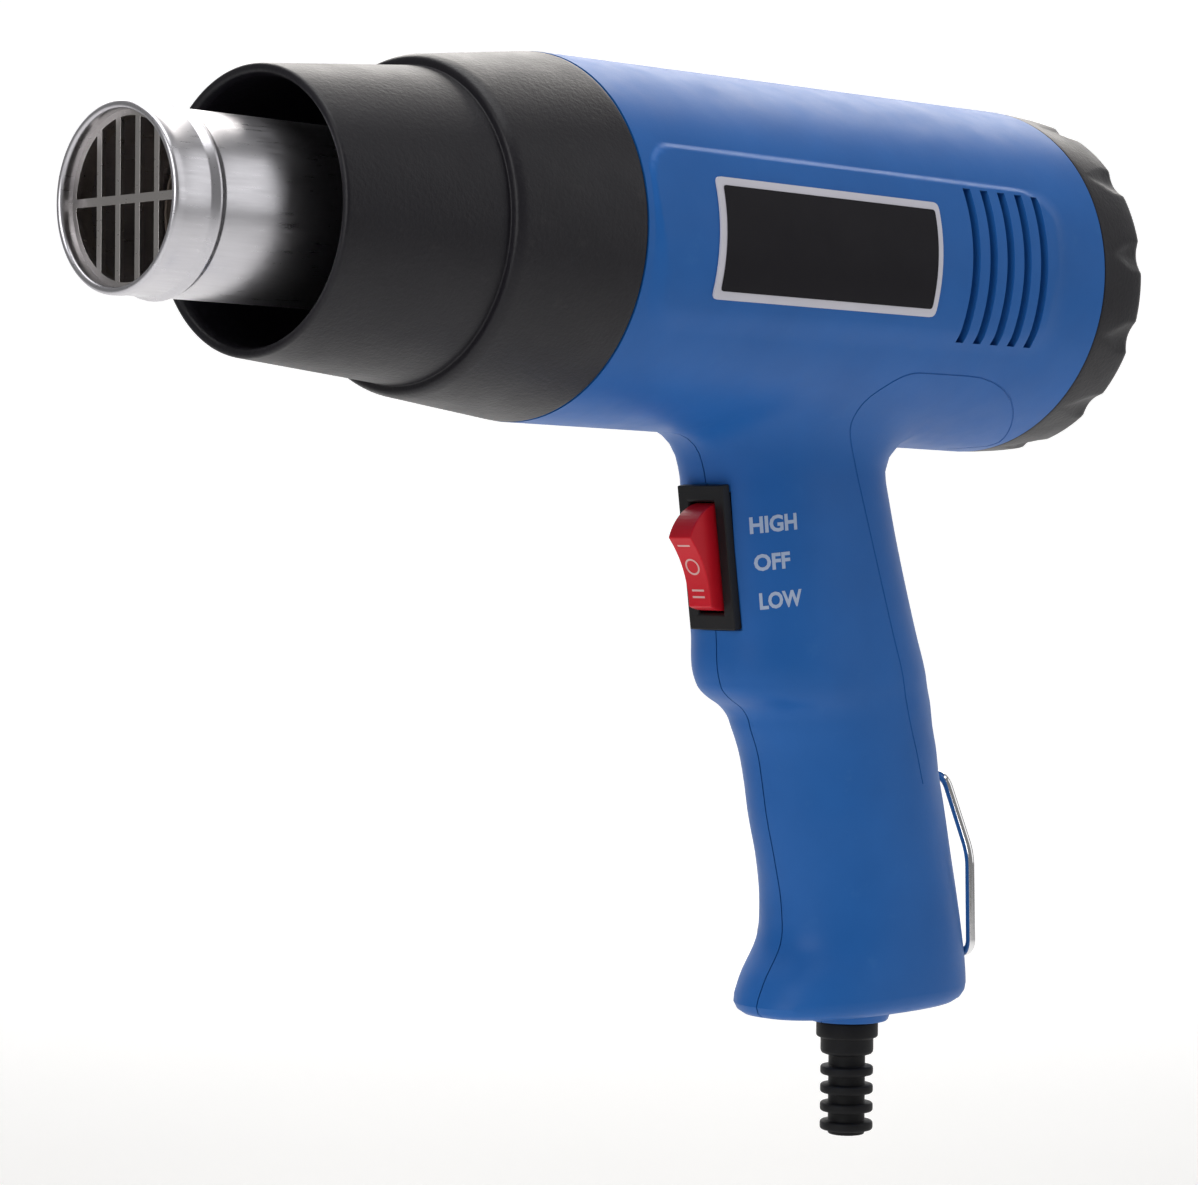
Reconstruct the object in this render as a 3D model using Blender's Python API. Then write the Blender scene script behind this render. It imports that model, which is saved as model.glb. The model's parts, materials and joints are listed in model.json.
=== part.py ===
"""Two-speed hot-air gun with a rear stand ring, built as an assembly.

The origin is the middle of the grip.  The nozzle points to -X, the handle hangs
down -Z and the clamshell parts on the plane y = 0.  Dimensions below are in
millimetres and are turned into metres when the meshes are made.
"""
import math

import bmesh
import bpy
import numpy as np

MM = 0.001
GAP = 0.3                      # clearance left between pieces that touch

# ---- barrel stations along X ---------------------------------------------
AXIS_Z = 110.0                 # height of the barrel axis above the grip centre
NOZZLE_X = -205.0              # front of the rolled nozzle rim
SHROUD_X = -173.8              # front lip of the black shroud
STEP_X = -135.7                # shroud step
HOUSING_X = -104.9             # visible front edge of the blue clamshell
HOUSING_END_X = 41.2           # rear edge of the clamshell
CAP_END_X = 58.0               # flat standing face of the rear cap
SPIGOT_X = -112.0              # front end of the clamshell spigot under the shroud

NOZZLE_R = 17.2
GRILLE_R = 14.9                # reach of the openings in the nozzle grille
GRILLE_EDGES = (-14.9, -8.9, -7.5, -3.5, -2.1, 2.1, 3.5, 7.5, 8.9, 14.9)
HOUSING_R = 36.9               # clamshell radius at HOUSING_X
HOUSING_END_R = 39.2           # clamshell radius at HOUSING_END_X
SPIGOT_R = 34.5
WALL = 2.5
CAP_R = 39.2
CAP_SCOOPS = 13
CAP_SCOOP_PHASE = 7.2          # degrees above the -Y direction

# ---- raised side pad and air slots ----------------------------------------
PAD_X = (-103.6, 29.0)
PAD_Z = (-17.2, 15.8)          # relative to the barrel axis
PAD_RISE = 0.8
SLOT_COUNT = 5
SLOT_X = -5.4                  # middle of the first slot
SLOT_PITCH = 5.9
SLOT_WIDTH = 2.6
SLOT_Z = (-17.4, 15.4)
LABEL_X = (-86.0, -17.3)
LABEL_Z = (-13.0, 11.5)
LABEL_THICK = 0.5

# ---- handle ------------------------------------------------------------------
# height, front, rear, half width, squareness of the cross-section
HANDLE_SECTIONS = (
    (66.0, -47.8, 2.6, 16.8, 2.5),
    (50.0, -46.0, 7.4, 17.1, 2.5),
    (30.0, -43.6, 14.6, 17.5, 2.5),
    (20.0, -42.4, 18.5, 17.7, 2.5),
    (18.0, -41.5, 19.3, 17.5, 2.45),
    (16.0, -39.1, 20.2, 17.2, 2.4),
    (14.0, -35.4, 21.2, 17.0, 2.3),
    (12.0, -33.4, 22.0, 16.9, 2.2),
    (9.0, -32.1, 23.0, 16.9, 2.1),
    (4.0, -29.8, 24.5, 17.0, 2.05),
    (-2.0, -28.3, 25.9, 17.0, 2.0),
    (-10.0, -26.6, 28.0, 17.1, 2.0),
    (-20.0, -23.7, 30.3, 17.2, 2.0),
    (-30.0, -21.4, 31.8, 17.7, 2.1),
    (-38.0, -21.5, 32.8, 18.2, 2.2),
    (-46.0, -26.9, 34.2, 18.5, 2.3),
    (-52.0, -30.0, 35.0, 18.5, 2.3),
)
HANDLE_BOTTOM_Z = -54.0
HANDLE_FLOOR = 3.0
NECK_BLEND = 11.0
NECK_X = (-66.0, 24.0)         # barrel columns that open into the handle
CORD_X = 1.5
CORD_BOSS_R = 9.6
CORD_BOSS_Z = -56.7
CORD_BORE_R = 6.2
CORD_R = 3.3                   # bore of the strain relief

# ---- switch ---------------------------------------------------------------------
SWITCH_X = -47.1
SWITCH_Z = 46.1
SWITCH_TILT = 8.5              # lean of the switch face from vertical, degrees
BEZEL_SIZE = (12.8, 31.0, 2.3)
SWITCH_BOX = (11.8, 27.0, 13.0)
SWITCH_WELL = (7.0, 23.8)      # opening the rocker tips in
ROCKER_WIDTH = 6.4
ROCKER_PIVOT = 2.5             # depth of the pivot behind the bezel face
ROCKER_R = 11.55               # reach of the rounded ends about the pivot
ROCKER_TIP = 44.0              # degrees from straight ahead to the tip of each wing
ROCKER_BACK = 105.0            # and to the rear corner of each wing
ROCKER_HOLLOW = 1.4            # depth of the dished front face
ROCKER_SWING = 16.0            # half travel, degrees
TERMINAL_PITCH = 7.0

# ---- wire loop ------------------------------------------------------------------
LOOP_X = 29.6
LOOP_Z = -43.0
LOOP_KNEE = (28.8, -20.5)      # x and z of the bend in each leg
LOOP_TOP_X = 28.2
LOOP_TOP_Z = -3.0
LOOP_HALF = 12.8
LOOP_TOP_HALF = 5.8
LOOP_WIRE_R = 1.1
LOOP_PIN_Y = 5.4

# ---- screws through the clamshell: x, z ---------------------------------------
SCREW_SPOTS = (
    (-88.0, AXIS_Z + 30.6), (-88.0, AXIS_Z - 30.6), (29.0, AXIS_Z + 31.6),
    (29.0, AXIS_Z - 31.6), (-2.0, 33.0), (-12.0, -37.0),
)
SCREW_SEAT_Y = 11.0
SCREW_TIP_Y = -8.0
BOSS_R = 4.6

# ---- air mover and heater -----------------------------------------------------
FAN_R = 25.5
RIB_XS = (-79.9, -69.4)
MOTOR_X = (-66.0, -30.0)
MOTOR_R = 17.5
IMPELLER_X = (-84.0, -74.0)
IMPELLER_BLADES = 7
BORE_R = 1.65                  # impeller bore, over the 1.3 mm radius shaft
COIL_X = (-174.0, -104.0)
COIL_TURNS = 14
COIL_STEPS = 10
COIL_R = 12.1

COLOURS = {
    "blue_plastic": ((0.045, 0.15, 0.42), 0.42, 0.0),
    "black_plastic": ((0.022, 0.022, 0.024), 0.55, 0.0),
    "red_plastic": ((0.62, 0.02, 0.03), 0.25, 0.0),
    "grey_plastic": ((0.30, 0.30, 0.31), 0.5, 0.0),
    "rubber": ((0.02, 0.02, 0.022), 0.75, 0.0),
    "steel": ((0.62, 0.62, 0.62), 0.25, 1.0),
    "chrome": ((0.80, 0.80, 0.80), 0.12, 1.0),
    "copper": ((0.75, 0.38, 0.22), 0.3, 1.0),
    "brass": ((0.75, 0.58, 0.26), 0.3, 1.0),
    "nichrome": ((0.42, 0.38, 0.35), 0.4, 1.0),
    "mica": ((0.62, 0.55, 0.42), 0.6, 0.0),
    "ferrite": ((0.10, 0.10, 0.11), 0.7, 0.0),
    "board": ((0.05, 0.22, 0.10), 0.5, 0.0),
    "label": ((0.012, 0.012, 0.014), 0.3, 0.0),
    "insulation": ((0.55, 0.10, 0.06), 0.5, 0.0),
}


# ---------------------------------------------------------------------- helpers
def clear_scene():
    for obj in list(bpy.data.objects):
        bpy.data.objects.remove(obj, do_unlink=True)


def material(name, finish):
    colour, roughness, metallic = COLOURS[finish]
    mat = bpy.data.materials.new(name + "_mat")
    mat.use_nodes = True
    shader = mat.node_tree.nodes["Principled BSDF"]
    shader.inputs["Base Color"].default_value = (*colour, 1.0)
    shader.inputs["Roughness"].default_value = roughness
    shader.inputs["Metallic"].default_value = metallic
    return mat


def mesh_object(name, verts, faces, finish=None, origin=(0.0, 0.0, 0.0), smooth=40.0):
    """Make an object from millimetre vertices, with its origin at a given point."""
    origin = np.array(origin, float)
    points = (np.array(verts, float) - origin) * MM
    mesh = bpy.data.meshes.new(name)
    mesh.from_pydata(points.tolist(), [], [list(map(int, f)) for f in faces])
    work = bmesh.new()
    work.from_mesh(mesh)
    bmesh.ops.recalc_face_normals(work, faces=work.faces)
    work.to_mesh(mesh)
    work.free()
    obj = bpy.data.objects.new(name, mesh)
    obj.location = (origin * MM).tolist()
    bpy.context.scene.collection.objects.link(obj)
    if finish:
        mesh.materials.append(material(name, finish))
    if smooth:
        mesh.shade_smooth()
        mesh.set_sharp_from_angle(angle=math.radians(smooth))
    return obj


def boolean(obj, cutter, operation="DIFFERENCE"):
    mod = obj.modifiers.new(cutter.name, "BOOLEAN")
    mod.operation = operation
    mod.solver = "EXACT"
    mod.object = cutter
    cutter.hide_render = True
    cutter.display_type = "WIRE"
    return obj


def grid_faces(rows, columns, wrap=True):
    faces = []
    last = columns if wrap else columns - 1
    for i in range(rows - 1):
        for j in range(last):
            k = (j + 1) % columns
            faces.append((i * columns + j, i * columns + k,
                          (i + 1) * columns + k, (i + 1) * columns + j))
    return faces


def ring_angles(count):
    return np.arange(count) * 2.0 * math.pi / count


def turned(name, profile, finish=None, count=40, axis="X", centre=(0.0, 0.0), closed=True,
           origin=(0.0, 0.0, 0.0), shape=None, smooth=40.0, start=0.0):
    """Solid of revolution: profile is (along, radius) pairs.

    A closed profile makes a ring; an open one starts and ends on the axis.
    centre is the place of the axis, shape may change a radius and start turns the
    first column round the axis.
    """
    profile = list(profile)
    angles = ring_angles(count) + start
    rings = profile if closed else profile[1:-1]
    verts = []
    for along, radius in rings:
        for angle in angles:
            r = shape(along, radius, angle) if shape else radius
            verts.append(axis_point(axis, centre, along, r, angle))
    faces = grid_faces(len(rings), count)
    if closed:
        base = (len(rings) - 1) * count
        for j in range(count):
            k = (j + 1) % count
            faces.append((base + j, base + k, k, j))
    else:
        for row, tip in ((0, profile[0]), (len(rings) - 1, profile[-1])):
            verts.append(axis_point(axis, centre, tip[0], 0.0, 0.0))
            pole = len(verts) - 1
            for j in range(count):
                faces.append((row * count + j, row * count + (j + 1) % count, pole))
    return mesh_object(name, verts, faces, finish, origin, smooth)


def axis_point(axis, centre, along, radius, angle):
    c, s = radius * math.cos(angle), radius * math.sin(angle)
    if axis == "X":
        return (along, centre[0] - c, centre[1] + s)
    if axis == "Y":
        return (centre[0] + c, along, centre[1] + s)
    return (centre[0] + c, centre[1] + s, along)


def box_parts(boxes):
    """Vertices and faces of several boxes given as (low corner, high corner)."""
    verts, faces = [], []
    for low, high in boxes:
        base = len(verts)
        for x in (low[0], high[0]):
            for y in (low[1], high[1]):
                for z in (low[2], high[2]):
                    verts.append((x, y, z))
        quads = ((0, 1, 3, 2), (4, 6, 7, 5), (0, 4, 5, 1), (2, 3, 7, 6), (0, 2, 6, 4), (1, 5, 7, 3))
        faces += [tuple(base + v for v in quad) for quad in quads]
    return verts, faces


def box(name, low, high, finish=None):
    verts, faces = box_parts([(low, high)])
    return mesh_object(name, verts, faces, finish, smooth=0.0)


def swept(name, path, radius, finish, sides=8, origin=(0.0, 0.0, 0.0)):
    """Round wire along a list of points, with flat ends."""
    path = np.array(path, float)
    tangents = np.gradient(path, axis=0)
    tangents /= np.linalg.norm(tangents, axis=1)[:, None]
    normal = np.cross(tangents[0], (0.31, 0.52, 0.79))
    verts = []
    for point, tangent in zip(path, tangents):
        normal = normal - tangent * normal.dot(tangent)
        normal /= np.linalg.norm(normal)
        side = np.cross(tangent, normal)
        for angle in ring_angles(sides):
            verts.append(point + radius * (math.cos(angle) * normal + math.sin(angle) * side))
    faces = grid_faces(len(path), sides)
    faces.append(tuple(range(sides - 1, -1, -1)))
    faces.append(tuple(range(len(verts) - sides, len(verts))))
    return mesh_object(name, verts, faces, finish, origin, 60.0)


def rounded_path(corners, radius, steps=4):
    """Polyline with its inner corners replaced by arcs."""
    corners = [np.array(c, float) for c in corners]
    path = [corners[0]]
    for before, corner, after in zip(corners, corners[1:], corners[2:]):
        toward = (before - corner) / np.linalg.norm(before - corner)
        onward = (after - corner) / np.linalg.norm(after - corner)
        for step in range(steps + 1):
            t = step / steps
            path.append(corner + radius * ((1 - t) ** 2 * toward + t ** 2 * onward))
    path.append(corners[-1])
    return path


# --------------------------------------------------------------- clamshell shape
def smoothstep(edge0, edge1, value):
    t = np.clip((value - edge0) / (edge1 - edge0), 0.0, 1.0)
    return t * t * (3.0 - 2.0 * t)


def barrel_radius(x):
    share = (x - HOUSING_X) / (HOUSING_END_X - HOUSING_X)
    return HOUSING_R + (HOUSING_END_R - HOUSING_R) * share


def pad_rise(x, height):
    bottom = smoothstep(PAD_Z[0] - 2.5, PAD_Z[0], height)
    top = 1 - smoothstep(PAD_Z[1], PAD_Z[1] + 1.5, height)
    front = smoothstep(PAD_X[0], PAD_X[0] + 3.0, x)
    rear = 1 - smoothstep(PAD_X[1] - 4.0, PAD_X[1], x)
    return PAD_RISE * bottom * top * front * rear


def handle_section(z):
    """Front, rear, half width and squareness, on cubic curves through the table."""
    table = np.array(HANDLE_SECTIONS)[::-1]
    heights = table[:, 0]
    z = np.clip(z, heights[0], heights[-1])
    row = np.clip(np.searchsorted(heights, z) - 1, 0, len(heights) - 2)
    width = heights[row + 1] - heights[row]
    t = (z - heights[row]) / width
    values = []
    for column in table.T[1:]:
        slopes = np.gradient(column, heights)
        low = column[row] * (1 + 2 * t) + slopes[row] * width * t
        high = column[row + 1] * (3 - 2 * t) - slopes[row + 1] * width * (1 - t)
        values.append(low * (1 - t) ** 2 + high * t ** 2)
    return values


def field(points, raised=True):
    """Signed distance-like value of the clamshell outside, blended at the neck."""
    x, y, z = points.T
    height = z - AXIS_Z
    barrel = np.hypot(y, height) - barrel_radius(x)
    if raised:
        barrel = barrel - pad_rise(x, height)
    front, rear, half, power = handle_section(z)
    u = (x - (front + rear) / 2) / ((rear - front) / 2)
    v = y / half
    spread = (np.abs(u) ** power + np.abs(v) ** power) ** (1 / power)
    spread = np.maximum(spread, 1e-6)
    reach = np.hypot(x - (front + rear) / 2, y)
    handle = np.maximum(reach * (1 - 1 / spread), height)
    mix = np.maximum(NECK_BLEND - np.abs(barrel - handle), 0.0) / NECK_BLEND
    return np.minimum(barrel, handle) - mix * mix * NECK_BLEND / 4


def settle(points, level, raised=True, steps=8):
    """Move points along the gradient until the field takes the given level."""
    points = np.array(points, float)
    nudge = 0.05
    for _ in range(steps):
        value = field(points, raised) - level
        ahead = [field(points + nudge * axis, raised) for axis in np.eye(3)]
        behind = [field(points - nudge * axis, raised) for axis in np.eye(3)]
        slope = (np.stack(ahead, axis=1) - np.stack(behind, axis=1)) / (2 * nudge)
        size = np.maximum((slope ** 2).sum(axis=1), 0.2)
        points -= slope * (value / size)[:, None]
    return points


# mesh columns of one barrel side, degrees up from the bottom; the neck takes the first rows
BARREL_ANGLES = (0, 7.5, 15, 22.5, 30, 38, 46, 55, 62, 66, 78, 90,
                 102, 112, 116, 126, 136, 147, 158, 169)
NECK_ROWS = 5
NECK_COLUMNS = 10


def barrel_stations(first, last):
    front = [HOUSING_X, PAD_X[0], PAD_X[0] + 3.0, -92.0, -79.0]
    neck = list(np.linspace(NECK_X[0], NECK_X[1], NECK_COLUMNS + 1))
    back = [PAD_X[1] - 4.0, PAD_X[1], HOUSING_END_X]
    inner = [x for x in front + neck + back if first < x < last]
    return [first] + inner + [last]


def handle_ring(z, inset=0.0):
    """Cross-section points in the order of the neck opening, starting at its front."""
    front, rear, half, power = handle_section(z)
    centre, reach = (front + rear) / 2, (rear - front) / 2 - inset
    across, along = 2 * NECK_ROWS, NECK_COLUMNS
    turns = []
    for start, count in ((-45, across), (45, along), (135, across), (225, along)):
        turns += [start + 90 * k / count for k in range(count)]
    points = []
    for turn in np.radians(turns):
        c, s = math.cos(turn), math.sin(turn)
        scale = (abs(c) ** power + abs(s) ** power) ** (-1 / power)
        points.append((centre - reach * c * scale, (half - inset) * s * scale, z))
    return points


def clamshell_solid(name, level, ends, lead, floor_z, boss, raised):
    """Closed barrel-and-handle solid whose skin lies on one level of the field."""
    xs = barrel_stations(*ends)
    angles = list(BARREL_ANGLES) + [180]
    angles += [360 - a for a in reversed(BARREL_ANGLES[1:])]
    count = len(angles)
    verts, index = [], {}
    first_neck = xs.index(NECK_X[0])
    last_neck = first_neck + NECK_COLUMNS
    for i, x in enumerate(xs):
        radius = barrel_radius(x) + level
        for j, angle in enumerate(np.radians(angles)):
            offset = min(j, count - j)
            if first_neck < i < last_neck and offset < NECK_ROWS:
                continue
            index[i, j] = len(verts)
            verts.append((x, radius * math.sin(angle), AXIS_Z - radius * math.cos(angle)))
    faces = []
    for i in range(len(xs) - 1):
        for j in range(count):
            k = (j + 1) % count
            inside = first_neck <= i < last_neck and (j < NECK_ROWS or j >= count - NECK_ROWS)
            if not inside:
                faces.append((index[i, j], index[i, k], index[i + 1, k], index[i + 1, j]))
    rim = neck_rim(index, first_neck, last_neck, count)
    faces += handle_walls(verts, rim, level, floor_z, boss)
    skin = settle(verts, level, raised)
    skin = hold_ends(np.array(verts), skin, xs, floor_z)
    verts = [tuple(v) for v in skin]
    faces += barrel_ends(verts, index, xs, count, lead)
    return mesh_object(name, verts, faces, smooth=50.0)


def neck_rim(index, first, last, count):
    """Barrel vertices around the neck opening, from front -Y round to front -Y."""
    rim = []
    for offset in range(-NECK_ROWS, NECK_ROWS):
        rim.append(index[first, offset % count])
    for i in range(first, last):
        rim.append(index[i, NECK_ROWS])
    for offset in range(NECK_ROWS, -NECK_ROWS, -1):
        rim.append(index[last, offset % count])
    for i in range(last, first, -1):
        rim.append(index[i, count - NECK_ROWS])
    return rim


def handle_walls(verts, rim, level, floor_z, boss):
    """Rings from the neck opening down to the closed bottom of the handle."""
    faces = []
    above = rim
    start = np.array([verts[i] for i in rim])
    neck = np.array(handle_ring(62.0))
    rings = [start * (1 - t) + neck * t for t in (0.28, 0.55, 0.8)]
    heights = [62.0, 54.0, 46.0, 38.0, 30.0, 22.0, 18.6, 16.4, 14.2, 12.0, 8.0, 2.0, -5.0, -13.0,
               -21.0, -28.0, -34.0, -39.0, -43.0, -46.5, floor_z + 4.0]
    rings += [np.array(handle_ring(z)) for z in heights]
    rings.append(np.array(handle_ring(floor_z + 1.6, 0.9 - level)))
    rings.append(np.array(handle_ring(floor_z + 0.4, 2.4 - level)))
    rings.append(np.array(handle_ring(floor_z, 4.4 - level)))
    for depth, radius in boss:
        rings.append(cord_ring(len(rim), radius, depth))
    for ring in rings:
        below = list(range(len(verts), len(verts) + len(ring)))
        verts.extend(tuple(p) for p in ring)
        for j in range(len(rim)):
            k = (j + 1) % len(rim)
            faces.append((above[j], above[k], below[k], below[j]))
        above = below
    faces.append(tuple(above))
    return faces


def cord_ring(count, radius, z):
    across, along = 2 * NECK_ROWS, NECK_COLUMNS
    turns = []
    for start, number in ((-45, across), (45, along), (135, across), (225, along)):
        turns += [start + 90 * k / number for k in range(number)]
    assert len(turns) == count
    return np.array([(CORD_X - radius * math.cos(t), radius * math.sin(t), z)
                     for t in np.radians(turns)])


def hold_ends(before, after, xs, floor_z):
    """Keep the open barrel ends and the bottom of the handle where they were set."""
    keep_x = np.isclose(before[:, 0], xs[0]) | np.isclose(before[:, 0], xs[-1])
    after[keep_x, 0] = before[keep_x, 0]
    low = before[:, 2] < floor_z + 3.0
    after[low] = before[low]
    return after


def barrel_ends(verts, index, xs, count, lead):
    """Close both ends; lead adds narrower rings in front as (x, radius)."""
    faces = []
    front = [index[0, j] for j in range(count)]
    back = [index[len(xs) - 1, j] for j in range(count)]
    for x, radius in lead:
        ring = []
        for j in front:
            y, z = verts[j][1], verts[j][2] - AXIS_Z
            scale = radius / math.hypot(y, z)
            ring.append((x, y * scale, AXIS_Z + z * scale))
        below = list(range(len(verts), len(verts) + count))
        verts.extend(ring)
        for j in range(count):
            k = (j + 1) % count
            faces.append((front[j], front[k], below[k], below[j]))
        front = below
    faces.append(tuple(front))
    faces.append(tuple(back))
    return faces


def joined_cutter(name, parts):
    """One object made of several separate meshes given as (verts, faces)."""
    verts, faces = [], []
    for part_verts, part_faces in parts:
        base = len(verts)
        verts += list(part_verts)
        faces += [tuple(base + v for v in face) for face in part_faces]
    return mesh_object(name, verts, faces, smooth=0.0)


def rod_parts(x, z, y_low, y_high, radius, count=16):
    """Cylinder along Y as vertices and faces."""
    verts = [(x + radius * math.cos(a), y, z + radius * math.sin(a))
             for y in (y_low, y_high) for a in ring_angles(count)]
    faces = grid_faces(2, count)
    faces.append(tuple(range(count - 1, -1, -1)))
    faces.append(tuple(range(count, 2 * count)))
    return verts, faces


def housing_cavity():
    lead = ((-103.0, barrel_radius(-103.0) - WALL), (-103.4, 32.2), (SPIGOT_X - 3.0, 32.2))
    cavity = clamshell_solid("cavity_tool", -WALL, (-101.0, HOUSING_END_X + 3.0), lead,
                             HANDLE_BOTTOM_Z + HANDLE_FLOOR, (), False)
    bosses = [rod_parts(x, z, -45.0, 45.0, BOSS_R) for x, z in SCREW_SPOTS]
    boolean(cavity, joined_cutter("boss_tool", bosses))
    for x in RIB_XS:
        profile = ((x - 1, FAN_R + GAP), (x + 1, FAN_R + GAP), (x + 1, 45.0), (x - 1, 45.0))
        rib = turned("rib_tool_%d" % -x, profile, count=37, centre=(0.0, AXIS_Z), smooth=0.0)
        boolean(cavity, rib)
    return cavity


def housing_openings():
    """Air slots, switch window, wire-loop sockets and cord bore."""
    parts = []
    for number in range(SLOT_COUNT):
        x = SLOT_X + number * SLOT_PITCH
        for side in (-1, 1):
            low = (x - SLOT_WIDTH / 2, min(side * 27.0, side * 46.0), AXIS_Z + SLOT_Z[0])
            high = (x + SLOT_WIDTH / 2, max(side * 27.0, side * 46.0), AXIS_Z + SLOT_Z[1])
            parts.append(box_parts([(low, high)]))
    slots = joined_cutter("slot_tool", parts)
    half_w, half_h = SWITCH_BOX[0] / 2 + GAP, SWITCH_BOX[1] / 2 + GAP
    verts, faces = box_parts([((-6.0, -half_w, -half_h), (9.0, half_w, half_h))])
    window = mesh_object("window_tool", switch_place(verts), faces, smooth=0.0)
    half_w, half_h = BEZEL_SIZE[0] / 2 + GAP, BEZEL_SIZE[1] / 2 + GAP
    low, high = (-6.0, -half_w, -half_h), (BEZEL_SIZE[2] + GAP / 2, half_w, half_h)
    verts, faces = box_parts([(low, high)])
    bed = mesh_object("bezel_bed_tool", switch_place(verts), faces, smooth=0.0)
    socket = rod_parts(LOOP_X, LOOP_Z, -20.0, 20.0, LOOP_WIRE_R + 0.15, 16)
    sockets = joined_cutter("socket_tool", [socket])
    profile = ((-45.0, 0.0), (-45.0, CORD_BORE_R), (-62.0, CORD_BORE_R), (-62.0, 0.0))
    bore = turned("bore_tool", profile, axis="Z", centre=(CORD_X, 0.0), closed=False,
                  count=28, smooth=0.0)
    return slots, bed, window, sockets, bore


def screw_holes(side):
    if side < 0:
        parts = [rod_parts(x, z, SCREW_TIP_Y - 0.5, 1.0, 1.7, 12) for x, z in SCREW_SPOTS]
        return [joined_cutter("pilot_tool", parts)]
    shafts = [rod_parts(x, z, -1.0, SCREW_SEAT_Y + 2.0, 1.7, 12) for x, z in SCREW_SPOTS]
    seats = [rod_parts(x, z, SCREW_SEAT_Y, 45.0, 3.4) for x, z in SCREW_SPOTS]
    return [joined_cutter("clearance_tool", shafts), joined_cutter("seat_tool", seats)]


def build_housing():
    cavity = housing_cavity()
    openings = housing_openings()
    boss = ((HANDLE_BOTTOM_Z, CORD_BOSS_R + 0.7), (HANDLE_BOTTOM_Z - 0.8, CORD_BOSS_R),
            (CORD_BOSS_Z, CORD_BOSS_R - 0.7))
    lead = ((HOUSING_X, SPIGOT_R), (SPIGOT_X, SPIGOT_R))
    ends = (HOUSING_X, HOUSING_END_X)
    for name, side in (("housing_left", -1), ("housing_right", 1)):
        half = clamshell_solid(name, 0.0, ends, lead, HANDLE_BOTTOM_Z, boss, True)
        half.data.materials.append(material(name, "blue_plastic"))
        boolean(half, cavity)
        limits = ((-150.0, -side * 60.0, -100.0), (80.0, side * GAP / 2, 180.0))
        low = tuple(min(a, b) for a, b in zip(*limits))
        high = tuple(max(a, b) for a, b in zip(*limits))
        boolean(half, box(name + "_split_tool", low, high))
        for cutter in openings:
            boolean(half, cutter)
        for cutter in screw_holes(side):
            boolean(half, cutter)


# ----------------------------------------------------------------- barrel parts
def build_shroud():
    outside = (
        (SHROUD_X + 0.5, 25.2), (SHROUD_X, 26.0), (SHROUD_X + 0.4, 26.8),
        (SHROUD_X + 1.6, 27.3), (STEP_X - 0.6, 30.7), (STEP_X - 0.6, 31.6), (STEP_X, 32.6),
        (STEP_X + 1.2, 33.1), (-106.2, HOUSING_R - 0.1), (HOUSING_X - GAP, HOUSING_R - 0.5),
    )
    inside = (
        (HOUSING_X - GAP, SPIGOT_R + GAP), (SPIGOT_X - GAP, SPIGOT_R + GAP),
        (SPIGOT_X - GAP, 32.6), (-124.0, 31.2), (-124.0, 18.4), (-126.0, 18.4),
        (-126.0, 30.6), (STEP_X + 2.0, 29.6), (STEP_X - 1.5, 28.3), (SHROUD_X + 2.0, 25.0),
    )
    profile = outside + inside
    turned("front_shroud", profile, "black_plastic", count=44, centre=(0.0, AXIS_Z))


def build_rear_cap():
    def scooped(along, radius, angle):
        if radius < 33.0 or along < 44.0:
            return radius
        pitch = 360.0 / CAP_SCOOPS
        turn = math.degrees(angle) - CAP_SCOOP_PHASE
        near = abs((turn + pitch / 2) % pitch - pitch / 2)
        depth = 1.1 * float(smoothstep(45.0, 56.0, along)) * max(0.0, 1.0 - (near / 6.5) ** 2)
        return radius - depth

    profile = (
        (HOUSING_END_X + GAP, CAP_R - 0.4), (HOUSING_END_X + 1.0, CAP_R), (47.0, CAP_R - 0.2),
        (52.0, CAP_R - 0.5), (CAP_END_X - 1.6, CAP_R - 0.9), (CAP_END_X - 0.4, CAP_R - 1.6),
        (CAP_END_X, CAP_R - 2.8), (CAP_END_X, 31.0), (55.6, 30.0), (54.6, 12.0), (54.6, 4.0),
        (52.6, 4.0), (52.6, 12.0), (53.4, 30.6), (46.0, 33.4), (35.5, 33.4), (35.5, 35.9),
        (HOUSING_END_X + GAP, 35.9),
    )
    cap = turned("rear_cap", profile, "black_plastic", count=65, centre=(0.0, AXIS_Z),
                 shape=scooped, start=math.radians(CAP_SCOOP_PHASE))
    slots = []
    for number in range(16):
        angle = 2 * math.pi * number / 16
        verts, faces = box_parts([((50.0, 9.0, -1.4), (57.0, 27.5, 1.4))])
        turned_verts = []
        for x, y, z in verts:
            turned_verts.append((x, y * math.cos(angle) - z * math.sin(angle),
                                 AXIS_Z + y * math.sin(angle) + z * math.cos(angle)))
        slots.append((turned_verts, faces))
    boolean(cap, joined_cutter("cap_slot_tool", slots))


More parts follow.
